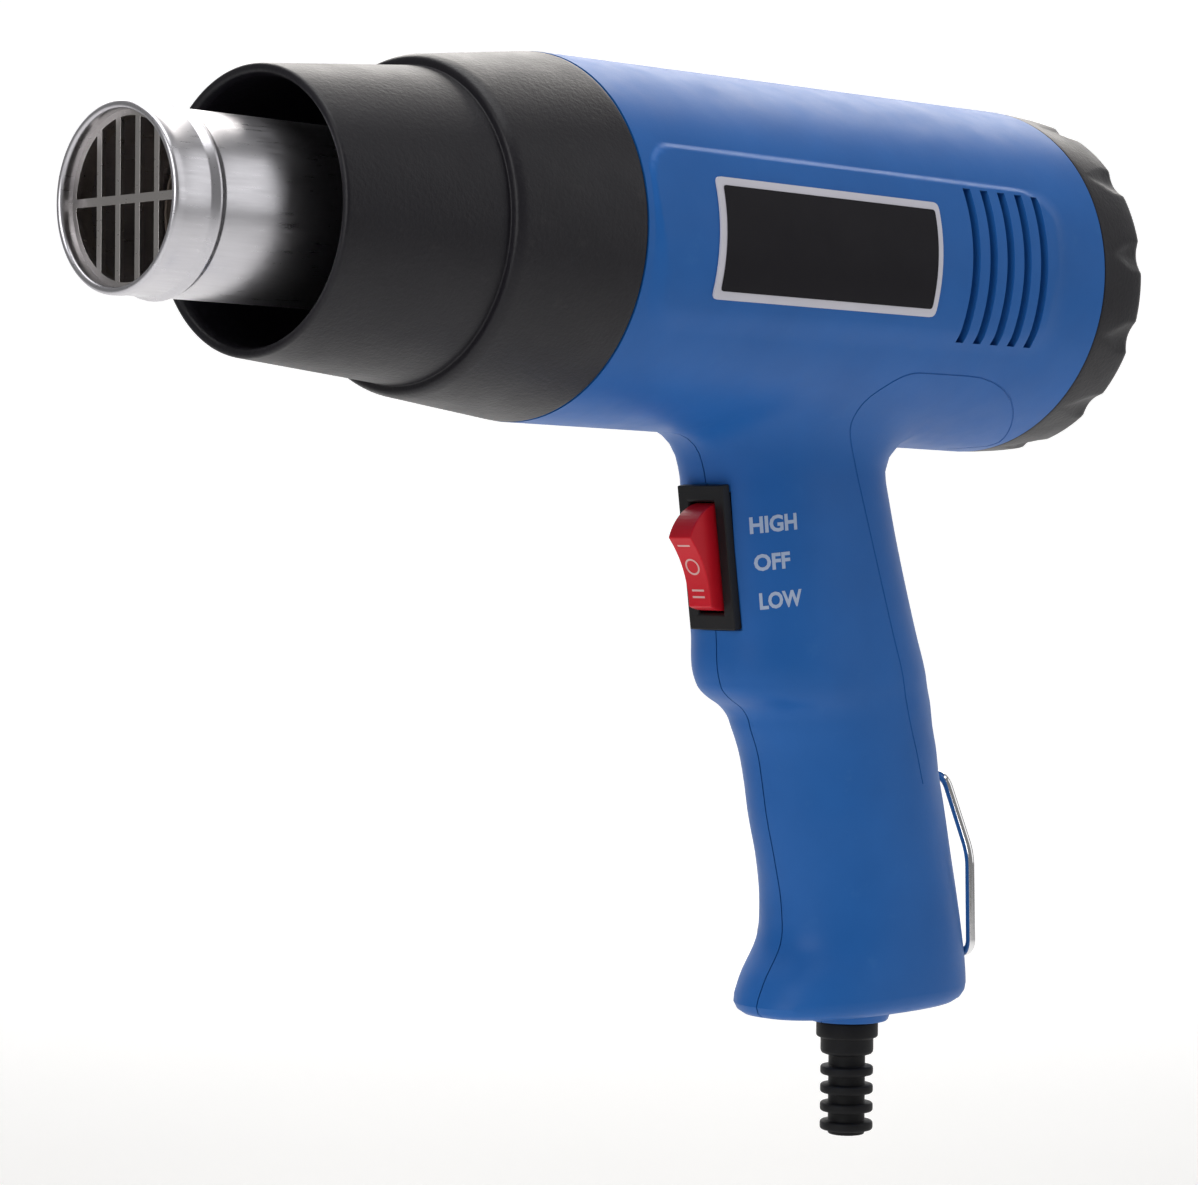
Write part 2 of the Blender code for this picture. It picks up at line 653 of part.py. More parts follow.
def build_nozzle():
    bead = NOZZLE_X + 9.9
    outer = [
        (NOZZLE_X + 2.2, 16.4), (NOZZLE_X + 0.5, 15.9), (NOZZLE_X, 16.1), (NOZZLE_X, 16.9),
        (NOZZLE_X + 0.5, 17.3), (NOZZLE_X + 2.0, 17.35), (NOZZLE_X + 3.0, NOZZLE_R),
        (bead - 1.9, NOZZLE_R), (bead - 0.9, 17.7), (bead, 17.95), (bead + 0.9, 17.7),
        (bead + 1.9, NOZZLE_R + 0.1),
        (-93.5, 17.4), (-93.5, 16.6), (bead + 1.9, 16.4), (bead, 16.9), (bead - 1.9, 16.4),
    ]
    turned("nozzle_tube", outer, "steel", count=40, centre=(0.0, AXIS_Z))
    front = NOZZLE_X + 3.0
    disc = ((front, 0.0), (front, 16.1), (front + 4.0, 16.1), (front + 4.0, 15.6),
            (front + 1.0, 15.6), (front + 1.0, 0.0))
    grille = turned("nozzle_grille", disc, "steel", count=36, centre=(0.0, AXIS_Z), closed=False)
    windows = []
    for left, right in zip(GRILLE_EDGES[::2], GRILLE_EDGES[1::2]):
        outermost = max(abs(left), abs(right))
        limit = max(math.sqrt(max(GRILLE_R ** 2 - outermost ** 2, 0.0)), 5.0)
        for low, high in ((-limit, -0.8), (0.8, limit)):
            near = (front - 2.0, left, AXIS_Z + low)
            far = (front + 3.0, right, AXIS_Z + high)
            windows.append(box_parts([(near, far)]))
    boolean(grille, joined_cutter("grille_tool", windows))


def build_heater():
    turned("insulation_sleeve", ((-181.0, 15.2), (-181.0, 15.8), (-96.0, 15.8), (-96.0, 15.2)),
           "mica", count=36, centre=(0.0, AXIS_Z))
    arm, half = 10.6, 0.6
    outline = [(half, half), (half, arm), (-half, arm), (-half, half), (-arm, half), (-arm, -half),
               (-half, -half), (-half, -arm), (half, -arm), (half, -half), (arm, -half), (arm, half)]
    verts = [(x, y, AXIS_Z + z) for x in (-177.0, -98.0) for y, z in outline]
    faces = grid_faces(2, 12)
    faces.append(tuple(range(11, -1, -1)))
    faces.append(tuple(range(12, 24)))
    mesh_object("heater_former", verts, faces, "mica", smooth=0.0)
    path = []
    steps = COIL_TURNS * COIL_STEPS
    for step in range(steps + 1):
        angle = 2 * math.pi * step / COIL_STEPS
        x = COIL_X[0] + (COIL_X[1] - COIL_X[0]) * step / steps
        path.append((x, COIL_R * math.cos(angle), AXIS_Z + COIL_R * math.sin(angle)))
    swept("heater_coil", path, 0.8, "nichrome", sides=4)
    box("thermal_cutout", (-97.0, -3.0, AXIS_Z - 2.0), (-89.0, 3.0, AXIS_Z + 2.0), "grey_plastic")
    shield = ((-119.5, 17.9), (-119.5, 31.0), (-118.7, 31.0), (-118.7, 18.7),
              (-115.0, 18.7), (-115.0, 17.9))
    turned("heat_shield", shield, "steel", count=36, centre=(0.0, AXIS_Z))


def build_air_mover():
    centre = (0.0, AXIS_Z)
    duct = turned("fan_duct", (
        (-97.5, 17.8), (-97.5, 19.4), (-94.0, 19.4), (-89.5, FAN_R), (-56.0, FAN_R),
        (-56.0, 19.6), (-50.0, 19.6), (-50.0, MOTOR_R + GAP), (-58.5, MOTOR_R + GAP),
        (-58.5, 24.2), (-89.0, 24.2), (-93.0, 17.8)),
        "black_plastic", count=32, centre=centre)
    windows = []
    for number in range(8):
        angle = 2 * math.pi * (number + 0.5) / 8
        y, z = 21.9 * math.cos(angle), AXIS_Z + 21.9 * math.sin(angle)
        windows.append(x_rod_parts(y, z, -60.0, -54.0, 1.9))
    boolean(duct, joined_cutter("duct_tool", windows))
    build_motor(centre)
    build_impeller()
    turned("rectifier_board", ((-22.4, 3.0), (-22.4, 16.0), (-20.8, 16.0), (-20.8, 3.0)),
           "board", count=32, centre=centre)
    for number, z in enumerate((-9.0, -5.0, 5.0, 9.0)):
        turned("diode_%d" % (number + 1), ((-3.0, 0.0), (-3.0, 1.4), (3.0, 1.4), (3.0, 0.0)),
               "black_plastic", count=12, axis="Y", centre=(-19.0, AXIS_Z + z), closed=False)


def build_motor(centre):
    front, rear = MOTOR_X
    turned("motor_can", (
        (front, 3.4), (front, MOTOR_R - 0.8), (front + 0.8, MOTOR_R), (rear, MOTOR_R),
        (rear, 16.3), (front + 1.2, 16.3), (front + 1.2, 3.4)),
        "steel", count=36, centre=centre)
    turned("motor_end_cap", (
        (rear + GAP, 3.4), (rear + GAP, 17.2), (rear + 2.6, 17.2), (rear + 3.4, 16.4),
        (rear + 3.4, 3.4)),
        "black_plastic", count=32, centre=centre)
    for name, low in (("motor_magnet_upper", 25.0), ("motor_magnet_lower", 205.0)):
        build_magnet(name, low, low + 130.0)
    for name, x in (("motor_bush_front", front - 2.0), ("motor_bush_rear", rear + 1.0)):
        bush = ((x, 1.36), (x, 3.1), (x + 4.0, 3.1), (x + 4.0, 1.36))
        turned(name, bush, "brass", count=20, centre=centre)
    turned("motor_armature", (
        (-86.0, 0.0), (-86.0, 1.3), (-60.0, 1.3), (-60.0, 12.0), (-40.0, 12.0), (-40.0, 5.0),
        (-33.0, 5.0), (-33.0, 1.3), (-25.5, 1.3), (-25.5, 0.0)),
        "steel", count=20, centre=centre, closed=False, origin=(-50.0, 0.0, AXIS_Z))


def x_rod_parts(y, z, x_low, x_high, radius, count=14):
    verts = [(x, y + radius * math.cos(a), z + radius * math.sin(a))
             for x in (x_low, x_high) for a in ring_angles(count)]
    faces = grid_faces(2, count)
    faces.append(tuple(range(count - 1, -1, -1)))
    faces.append(tuple(range(count, 2 * count)))
    return verts, faces


def build_magnet(name, low, high, steps=10):
    verts = []
    for x in (-62.0, -38.0):
        for radius in (12.6, 16.0):
            for step in range(steps + 1):
                angle = math.radians(low + (high - low) * step / steps)
                verts.append((x, radius * math.cos(angle), AXIS_Z + radius * math.sin(angle)))
    width = steps + 1
    loop = list(range(width)) + list(range(2 * width - 1, width - 1, -1))
    faces = []
    for j in range(len(loop)):
        a, b = loop[j], loop[(j + 1) % len(loop)]
        faces.append((a, b, b + 2 * width, a + 2 * width))
    for offset in (0, 2 * width):
        for j in range(steps):
            faces.append((offset + j, offset + j + 1, offset + width + j + 1, offset + width + j))
    mesh_object(name, verts, faces, "ferrite")


def build_impeller():
    """Hub and twisted blades drawn as one star outline swept along the shaft."""
    outline = []
    for blade in range(IMPELLER_BLADES):
        base = 360.0 * blade / IMPELLER_BLADES
        outline += [(9.0, base - 7.0), (23.0, base - 2.6), (23.6, base), (23.0, base + 2.6),
                    (9.0, base + 7.0), (9.0, base + 180.0 / IMPELLER_BLADES)]
    rows = 5
    verts = []
    for row in range(rows):
        share = row / (rows - 1)
        x = IMPELLER_X[0] + (IMPELLER_X[1] - IMPELLER_X[0]) * share
        for radius, turn in outline:
            angle = math.radians(turn + 34.0 * share)
            verts.append((x, radius * math.cos(angle), AXIS_Z + radius * math.sin(angle)))
    count = len(outline)
    faces = grid_faces(rows, count)
    bore_angles = [math.radians(turn) for _, turn in outline]
    for row, x in ((0, IMPELLER_X[0]), (rows - 1, IMPELLER_X[1])):
        base = len(verts)
        twist = math.radians(34.0) * row / (rows - 1)
        for angle in bore_angles:
            verts.append((x, BORE_R * math.cos(angle + twist),
                          AXIS_Z + BORE_R * math.sin(angle + twist)))
        for j in range(count):
            k = (j + 1) % count
            faces.append((row * count + j, row * count + k, base + k, base + j))
    front, back = rows * count, (rows + 1) * count
    for j in range(count):
        k = (j + 1) % count
        faces.append((front + j, front + k, back + k, back + j))
    mesh_object("impeller", verts, faces, "black_plastic", origin=(-79.0, 0.0, AXIS_Z), smooth=30.0)


# ----------------------------------------------------------------------- switch
def switch_place(points):
    """Switch coordinates (depth, across, up the face) to gun coordinates."""
    tilt = math.radians(SWITCH_TILT)
    placed = []
    for depth, across, up in points:
        x = SWITCH_X + depth * math.cos(tilt) - up * math.sin(tilt)
        z = SWITCH_Z + depth * math.sin(tilt) + up * math.cos(tilt)
        placed.append((x, across, z))
    return placed


def build_switch():
    half_w, half_h, thick = BEZEL_SIZE[0] / 2, BEZEL_SIZE[1] / 2, BEZEL_SIZE[2]
    body_w, body_h, depth = SWITCH_BOX[0] / 2, SWITCH_BOX[1] / 2, SWITCH_BOX[2]
    well_w, well_h, floor = SWITCH_WELL[0] / 2, SWITCH_WELL[1] / 2, depth - 1.5
    stack = ((floor, well_w, well_h), (0.3, well_w, well_h), (0.0, well_w + 0.3, well_h + 0.3),
             (0.0, half_w - 0.5, half_h - 0.5), (0.5, half_w, half_h), (thick, half_w, half_h),
             (thick, body_w, body_h), (depth, body_w, body_h))
    verts = []
    for x, w, h in stack:
        verts += [(x, -w, -h), (x, w, -h), (x, w, h), (x, -w, h)]
    faces = grid_faces(len(stack), 4)
    faces.append((0, 1, 2, 3))
    last = len(verts) - 4
    faces.append((last, last + 1, last + 2, last + 3))
    mesh_object("switch_body", switch_place(verts), faces, "black_plastic", smooth=0.0)
    build_rocker()
    for number in range(3):
        up = (number - 1) * TERMINAL_PITCH
        verts, faces = box_parts([((depth + 0.2, -3.0, up - 0.4), (depth + 7.5, 3.0, up + 0.4))])
        mesh_object("switch_terminal_%d" % (number + 1), switch_place(verts), faces, "brass",
                    smooth=0.0)


def rocker_outline(end_steps, face_steps):
    """Neutral side view as (depth, up): rounded ends about the pivot, dished front."""
    lower = []
    for turn in np.radians(np.linspace(ROCKER_BACK, ROCKER_TIP, end_steps)):
        lower.append((ROCKER_PIVOT - ROCKER_R * math.cos(turn), -ROCKER_R * math.sin(turn)))
    tip_depth, tip_up = lower[-1]
    face = []
    for share in np.linspace(-1.0, 1.0, face_steps)[1:-1]:
        face.append((tip_depth + ROCKER_HOLLOW * (1 - share ** 2), -tip_up * share))
    upper = [(depth, -up) for depth, up in reversed(lower)]
    return [(7.0, -3.0)] + lower + face + upper + [(7.0, 3.0)]


def build_rocker():
    """Concave two-winged rocker, resting with its lower end pressed in."""
    swing = math.radians(ROCKER_SWING)
    outline = []
    for depth, up in rocker_outline(6, 9):
        d = depth - ROCKER_PIVOT
        outline.append((ROCKER_PIVOT + d * math.cos(swing) - up * math.sin(swing),
                        d * math.sin(swing) + up * math.cos(swing)))
    count = len(outline)
    half = ROCKER_WIDTH / 2
    verts = [(depth, y, up) for y in (-half, half) for depth, up in outline]
    faces = grid_faces(2, count)
    faces.append(tuple(range(count - 1, -1, -1)))
    faces.append(tuple(range(count, 2 * count)))
    pivot = switch_place([(ROCKER_PIVOT, 0.0, 0.0)])[0]
    mesh_object("switch_rocker", switch_place(verts), faces, "red_plastic", origin=pivot,
                smooth=30.0)


# ----------------------------------------------------------- handle furniture
def build_hanging_loop():
    near_side = [
        (LOOP_X, -LOOP_PIN_Y, LOOP_Z), (LOOP_X, -LOOP_HALF, LOOP_Z),
        (LOOP_KNEE[0], -LOOP_HALF, LOOP_KNEE[1]), (LOOP_TOP_X, -LOOP_TOP_HALF, LOOP_TOP_Z),
    ]
    far_side = [(x, -y, z) for x, y, z in reversed(near_side)]
    path = rounded_path(near_side + far_side, 3.0)
    swept("hanging_loop", path, LOOP_WIRE_R, "chrome", sides=8,
          origin=(LOOP_X, 0.0, LOOP_Z))


def build_strain_relief():
    top, bore, neck = -47.5, CORD_R, 4.1
    profile = [(top, bore), (top, 8.4), (-50.7, 8.4), (-50.7, 5.9), (CORD_BOSS_Z - GAP, 5.9),
               (CORD_BOSS_Z - GAP, 6.9), (-60.3, 6.9), (-60.7, 5.9), (-64.0, 5.9),
               (-64.6, 5.0), (-64.6, neck)]
    for rib in range(4):
        z = -67.0 - 4.1 * rib
        profile += [(z, neck), (z - 0.1, 5.5), (z - 1.0, 5.9), (z - 1.9, 5.5), (z - 2.0, neck)]
    profile += [(-81.9, neck), (-82.3, bore + 0.3), (-82.0, bore)]
    turned("strain_relief", profile, "rubber", count=16, axis="Z", centre=(CORD_X, 0.0))


def build_cord_clamp():
    clamp = box("cord_clamp", (-9.0, 1.0, -30.0), (12.0, 4.0, -23.0), "grey_plastic")
    holes = [rod_parts(x, -26.5, -2.0, 8.0, 1.6, 12) for x in (-6.5, 9.5)]
    boolean(clamp, joined_cutter("clamp_tool", holes))
    for number, x in enumerate((-6.5, 9.5)):
        build_screw("clamp_screw_%d" % (number + 1), x, -26.5, 4.3, -4.0, 1.2, 2.4)


def build_screw(name, x, z, seat, tip, shank, head):
    profile = ((tip, 0.0), (tip + 1.2, shank), (seat, shank), (seat, head), (seat + 1.4, head),
               (seat + 2.0, head - 0.7), (seat + 2.0, 0.0))
    turned(name, profile, "steel", count=14, axis="Y", centre=(x, z), closed=False)


def build_labels():
    for name, side in (("label_left", -1), ("label_right", 1)):
        columns, rows = 9, 7
        verts = []
        for lift in (0.2, 0.2 + LABEL_THICK):
            for x in np.linspace(LABEL_X[0], LABEL_X[1], columns):
                radius = barrel_radius(x) + PAD_RISE + lift
                low = math.asin(LABEL_Z[0] / radius)
                high = math.asin(LABEL_Z[1] / radius)
                for angle in np.linspace(low, high, rows):
                    y = side * radius * math.cos(angle)
                    verts.append((x, y, AXIS_Z + radius * math.sin(angle)))
        faces = grid_faces(columns, rows, wrap=False)
        shift = rows * columns
        faces += [tuple(v + shift for v in face) for face in grid_faces(columns, rows, wrap=False)]
        edge = [r for r in range(rows)]
        edge += [c * rows + rows - 1 for c in range(1, columns)]
        edge += [(columns - 1) * rows + r for r in range(rows - 2, -1, -1)]
        edge += [c * rows for c in range(columns - 2, 0, -1)]
        for a, b in zip(edge, edge[1:] + edge[:1]):
            faces.append((a, b, b + shift, a + shift))
        mesh_object(name, verts, faces, "label", smooth=30.0)


def build_leads():
    """Each lead starts behind one switch terminal."""
    onward = {
        "lead_heater": [(-17.0, 0.0, 62.0), (-14.0, 0.0, 84.0), (-14.0, 0.0, 97.0)],
        "lead_live": [(-16.0, -4.0, 40.0), (-13.0, -5.0, 5.0), (1.5, -5.0, -18.0),
                      (1.5, -2.0, -40.0)],
        "lead_neutral": [(-17.0, 4.5, 34.0), (-10.0, 6.5, 8.0), (1.5, 6.5, -8.0),
                         (1.5, 6.5, -19.0)],
    }
    for (name, corners), up in zip(onward.items(), (TERMINAL_PITCH, 0.0, -TERMINAL_PITCH)):
        start = switch_place([(SWITCH_BOX[2] + 9.0, 0.0, up)])
        swept(name, rounded_path(start + corners, 4.0), 1.1, "insulation", sides=6)


def main():
    clear_scene()
    build_housing()
    build_shroud()
    build_rear_cap()
    build_nozzle()
    build_heater()
    build_air_mover()
    build_switch()
    build_hanging_loop()
    build_strain_relief()
    build_cord_clamp()
    for number, (x, z) in enumerate(SCREW_SPOTS):
        name = "housing_screw_%d" % (number + 1)
        build_screw(name, x, z, SCREW_SEAT_Y + GAP, SCREW_TIP_Y, 1.35, 3.0)
    build_labels()
    build_leads()


main()
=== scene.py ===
"""Looks of the two-speed hot-air gun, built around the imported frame.

Shapes are drawn in millimetres in the frame's own axes: the nozzle points to -X, the
handle hangs down -Z and the clamshell parts on y = 0.  Each finer piece stands for the
CAD node it replaces and rides on that node's body.
"""
import json
import math

import bmesh
import bpy
import numpy as np
from mathutils import Matrix, Vector

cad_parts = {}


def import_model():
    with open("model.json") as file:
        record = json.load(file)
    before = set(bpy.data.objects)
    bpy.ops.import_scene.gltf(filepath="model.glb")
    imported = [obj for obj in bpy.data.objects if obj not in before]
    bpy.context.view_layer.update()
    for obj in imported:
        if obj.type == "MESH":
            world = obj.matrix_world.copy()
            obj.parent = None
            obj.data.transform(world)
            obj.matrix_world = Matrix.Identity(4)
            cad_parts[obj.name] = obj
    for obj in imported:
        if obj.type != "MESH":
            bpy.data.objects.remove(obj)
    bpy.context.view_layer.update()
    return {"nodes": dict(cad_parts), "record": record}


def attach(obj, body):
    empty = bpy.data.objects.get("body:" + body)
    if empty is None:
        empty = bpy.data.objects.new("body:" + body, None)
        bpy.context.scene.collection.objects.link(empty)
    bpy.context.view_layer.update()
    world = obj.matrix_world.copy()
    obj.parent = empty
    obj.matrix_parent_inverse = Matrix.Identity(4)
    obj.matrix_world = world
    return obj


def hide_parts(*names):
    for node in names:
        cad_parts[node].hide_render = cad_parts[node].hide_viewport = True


MM = 0.001
GAP = 0.3                      # clearance left between pieces that touch

# ---- camera, matched to the reference view
CAMERA_SPOT = (-573.33, -474.94, 50.80)
CAMERA_YAW = 46.107            # degrees from +Y towards +X
CAMERA_PITCH = -0.989
CAMERA_ROLL = 0.527
CAMERA_LENS = 100.3            # on a 36 mm wide sensor

# ---- barrel
AXIS_Z = 110.0                 # height of the barrel axis
NOZZLE_X = -205.0
SHROUD_X = -173.8
STEP_X = -135.7
HOUSING_X = -104.9
HOUSING_END_X = 41.2
CAP_END_X = 58.0
SPIGOT_X = -112.0
NOZZLE_R = 17.2
COIL_X = (-174.0, -104.0)
HOUSING_R = 36.9
HOUSING_END_R = 39.2
SPIGOT_R = 34.5
WALL = 2.5
CAP_R = 39.2
CAP_SCOOPS = 13
CAP_SCOOP_PHASE = 7.2          # degrees above the -Y direction
CAP_SLOTS = 16

# ---- raised side pad, air slots and label
PAD_X = (-103.6, 29.0)
PAD_Z = (-19.7, 17.3)          # relative to the barrel axis, foot of the pad's edge
PAD_CORNER = 8.0
PAD_RISE = 0.8
PAD_EDGE = (5.0, 1.3)          # width of the slope along the bottom and along the top
SLOT_COUNT = 5
SLOT_X = -5.4
SLOT_PITCH = 5.9
SLOT_WIDTH = 2.6
SLOT_Z = (-17.4, 15.4)
LABEL_X = (-86.0, -17.3)
LABEL_Z = (-13.0, 11.5)
LABEL_BORDER = 1.7

# ---- handle
# height, front, rear, half width, squareness of the cross-section
HANDLE_SECTIONS = (
    (66.0, -47.8, 2.6, 16.8, 2.5),
    (50.0, -46.0, 7.4, 17.1, 2.5),
    (30.0, -43.6, 14.6, 17.5, 2.5),
    (20.0, -42.4, 18.5, 17.7, 2.5),
    (18.0, -41.5, 19.3, 17.5, 2.45),
    (16.0, -39.1, 20.2, 17.2, 2.4),
    (14.0, -35.4, 21.2, 17.0, 2.3),
    (12.0, -33.4, 22.0, 16.9, 2.2),
    (9.0, -32.1, 23.0, 16.9, 2.1),
    (4.0, -29.8, 24.5, 17.0, 2.05),
    (-2.0, -28.3, 25.9, 17.0, 2.0),
    (-10.0, -26.6, 28.0, 17.1, 2.0),
    (-20.0, -23.7, 30.3, 17.2, 2.0),
    (-30.0, -21.4, 31.8, 17.7, 2.1),
    (-38.0, -21.5, 32.8, 18.2, 2.2),
    (-46.0, -26.9, 34.2, 18.5, 2.3),
    (-52.0, -30.0, 35.0, 18.5, 2.3),
)
HANDLE_BOTTOM_Z = -54.0
HANDLE_FLOOR = 3.0
HANDLE_FOOT_R = 4.4            # rounding of the handle's bottom edge
NECK_BLEND = 11.0
NECK_X = (-66.0, 24.0)         # barrel columns that open into the handle
NECK_ANGLE = 38.0              # half width of that opening round the barrel, degrees
CORD_X = 1.5
CORD_BOSS_R = 9.6
CORD_BOSS_Z = -56.7
CORD_BORE_R = 6.2
CORD_R = 3.3

# ---- switch
SWITCH_X = -47.1
SWITCH_Z = 46.1
SWITCH_TILT = 8.5              # lean of the switch face, degrees
BEZEL_SIZE = (12.8, 31.0, 2.3)
SWITCH_BOX = (11.8, 27.0, 13.0)
SWITCH_WELL = (7.0, 23.8)      # opening the rocker tips in
ROCKER_WIDTH = 6.4
ROCKER_PIVOT = 2.5             # depth of the pivot behind the bezel face
ROCKER_R = 11.55               # reach of the rounded ends about the pivot
ROCKER_TIP = 44.0              # degrees from straight ahead to the tip of each wing
ROCKER_BACK = 105.0            # and to the rear corner of each wing
ROCKER_HOLLOW = 1.4            # depth of the dished front face
ROCKER_SWING = 16.0            # half travel, degrees

# generic speed words beside the rocker: word, distance round from the front, height, width
LEGENDS = (("HIGH", 9.9, 51.2, 10.6), ("OFF", 10.3, 43.3, 8.0), ("LOW", 10.9, 35.2, 9.6))
LEGEND_HEIGHT = 3.6
LEGEND_LEAN = 6.0              # rise of the line of lettering, degrees

# ---- wire loop and strain relief
LOOP_X = 29.6
LOOP_Z = -43.0
LOOP_KNEE = (28.8, -20.5)      # x and z of the bend in each leg
LOOP_TOP_X = 28.2
LOOP_TOP_Z = -3.0
LOOP_HALF = 12.8
LOOP_TOP_HALF = 5.8
LOOP_WIRE_R = 1.1
LOOP_BEND = 3.0
LOOP_PIN_Y = 5.4
RELIEF_NECK = 4.1

# ---- rear insert: its edge runs forward under the barrel, then down the grip
INSERT_TOP_Z = 86.0            # level upper edge
INSERT_FRONT_X = -24.0         # foremost edge, under the barrel
INSERT_REAR = (40.2, 72.0)     # x and z of the corner under the rear ring
INSERT_NECK = (-18.3, 67.0)    # where the edge passes from the barrel to the grip
INSERT_FOOT = (7.2, -3.6)      # lower end of the straight run down the grip
INSERT_STEP = 1.5              # spacing along the edge
INSERT_GROOVE_R = 0.24

# ---- screws through the clamshell: x, z
SCREW_SPOTS = (
    (-88.0, AXIS_Z + 30.6), (-88.0, AXIS_Z - 30.6), (29.0, AXIS_Z + 31.6),
    (29.0, AXIS_Z - 31.6), (-2.0, 33.0), (-12.0, -37.0),
)
SCREW_SEAT_Y = 11.0
SCREW_TIP_Y = -8.0

# ---- stage, in metres
FLOOR_Z = -0.34
SWEEP_R = 0.9                  # radius of the curve from floor to backdrop
FLOOR_GLOW = 0.55


# ==== helpers
def link(obj):
    bpy.context.scene.collection.objects.link(obj)
    return obj


def shade(mesh, angle):
    """Smooth shading except at edges sharper than the angle, in degrees."""
    mesh.shade_smooth()
    mesh.set_sharp_from_angle(angle=math.radians(angle))


def face_outward(work, mesh):
    """Turn every face outward, store the result in the mesh and free the work copy."""
    bmesh.ops.recalc_face_normals(work, faces=work.faces)
    work.to_mesh(mesh)
    work.free()


def mesh_object(name, verts, faces, smooth=40.0):
    """Object from millimetre vertices; smooth is the sharpness limit, 0 for flat faces."""
    mesh = bpy.data.meshes.new(name)
    points = np.array(verts, float) * MM
    mesh.from_pydata(points.tolist(), [], [list(map(int, f)) for f in faces])
    work = bmesh.new()
    work.from_mesh(mesh)
    face_outward(work, mesh)
    if smooth:
        shade(mesh, smooth)
    return link(bpy.data.objects.new(name, mesh))


def baked(obj):
    """Apply every modifier and drop the objects that only served as cutters."""
    graph = bpy.context.evaluated_depsgraph_get()
    mesh = bpy.data.meshes.new_from_object(obj.evaluated_get(graph))
    cutters = [mod.object for mod in obj.modifiers if mod.type == "BOOLEAN"]
    obj.modifiers.clear()
    obj.data = mesh
    for cutter in cutters:
        bpy.data.objects.remove(cutter, do_unlink=True)
    return obj


def cut(obj, cutter):
    mod = obj.modifiers.new(cutter.name, "BOOLEAN")
    mod.operation = "DIFFERENCE"
    mod.solver = "EXACT"
    mod.object = cutter


def rounded_edges(obj, width, segments=2, angle=35.0):
    mod = obj.modifiers.new("edges", "BEVEL")
    mod.width = width * MM
    mod.segments = segments
    mod.limit_method = "ANGLE"
    mod.angle_limit = math.radians(angle)
    mod.harden_normals = True
    return baked(obj)


def band(first, second):
    """Faces between two rings of vertex numbers."""
    return [(a, b, c, d) for a, b, c, d in zip(first, np.roll(first, -1), np.roll(second, -1), second)]


def grid_faces(rows, columns, wrap=True):
    faces = []
    for i in range(rows - 1):
        low = range(i * columns, (i + 1) * columns)
        high = range((i + 1) * columns, (i + 2) * columns)
        faces += band(low, high)[:columns if wrap else columns - 1]
    return faces


def prism_faces(count):
    """Faces of a solid between two outlines of count points each."""
    return grid_faces(2, count) + [tuple(range(count - 1, -1, -1)), tuple(range(count, 2 * count))]


def ring_angles(count):
    return np.arange(count) * 2.0 * math.pi / count


def axis_point(axis, centre, along, radius, angle):
    c, s = radius * math.cos(angle), radius * math.sin(angle)
    if axis == "X":
        return (along, centre[0] - c, centre[1] + s)
    if axis == "Y":
        return (centre[0] + c, along, centre[1] + s)
    return (centre[0] + c, centre[1] + s, along)


def turned(name, profile, count=96, axis="X", centre=(0.0, AXIS_Z), closed=True, shape=None,
           smooth=40.0):
    """Solid of revolution from (along, radius) pairs; an open profile ends on the axis."""
    profile = list(profile)
    angles = ring_angles(count)
    rings = profile if closed else profile[1:-1]
    verts = []
    for along, radius in rings:
        for angle in angles:
            r = shape(along, radius, angle) if shape else radius
            verts.append(axis_point(axis, centre, along, r, angle))
    faces = grid_faces(len(rings), count)
    if closed:
        faces += band(range((len(rings) - 1) * count, len(rings) * count), range(count))
    else:
        for row, tip in ((0, profile[0]), (len(rings) - 1, profile[-1])):
            verts.append(axis_point(axis, centre, tip[0], 0.0, 0.0))
            pole = len(verts) - 1
            for j in range(count):
                faces.append((row * count + j, row * count + (j + 1) % count, pole))
    return mesh_object(name, verts, faces, smooth)


def rounded_profile(corners, closed=True, steps=5):
    """Round the corners of an outline or path; each corner ends with its rounding."""
    points = [np.array(c[:-1], float) for c in corners]
    count = len(points)
    result = []
    for i, corner in enumerate(corners):
        if not closed and i in (0, count - 1):
            result.append(tuple(points[i]))
            continue
        before, after = points[i - 1], points[(i + 1) % count]
        toward, onward = before - points[i], after - points[i]
        reach = min(corner[-1], 0.48 * np.linalg.norm(toward), 0.48 * np.linalg.norm(onward))
        if reach <= 0.0:
            result.append(tuple(points[i]))
            continue
        toward = toward / np.linalg.norm(toward) * reach
        onward = onward / np.linalg.norm(onward) * reach
        for step in range(steps + 1):
            t = step / steps
            result.append(tuple(points[i] + (1 - t) ** 2 * toward + t ** 2 * onward))
    return result


def box_parts(boxes):
    """Vertices and faces of several boxes given as (low corner, high corner)."""
    verts, faces = [], []
    for low, high in boxes:
        base = len(verts)
        for x in (low[0], high[0]):
            for y in (low[1], high[1]):
                for z in (low[2], high[2]):
                    verts.append((x, y, z))
        quads = ((0, 1, 3, 2), (4, 6, 7, 5), (0, 4, 5, 1), (2, 3, 7, 6), (0, 2, 6, 4), (1, 5, 7, 3))
        faces += [tuple(base + v for v in quad) for quad in quads]
    return verts, faces


def rod_parts(x, z, y_low, y_high, radius, count=32):
    verts = [(x + radius * math.cos(a), y, z + radius * math.sin(a))
             for y in (y_low, y_high) for a in ring_angles(count)]
    return verts, prism_faces(count)


def joined(name, parts, smooth=0.0):
    """One object made of several separate meshes given as (verts, faces)."""
    verts, faces = [], []
    for part_verts, part_faces in parts:
        base = len(verts)
        verts += list(part_verts)
        faces += [tuple(base + v for v in face) for face in part_faces]
    return mesh_object(name, verts, faces, smooth)


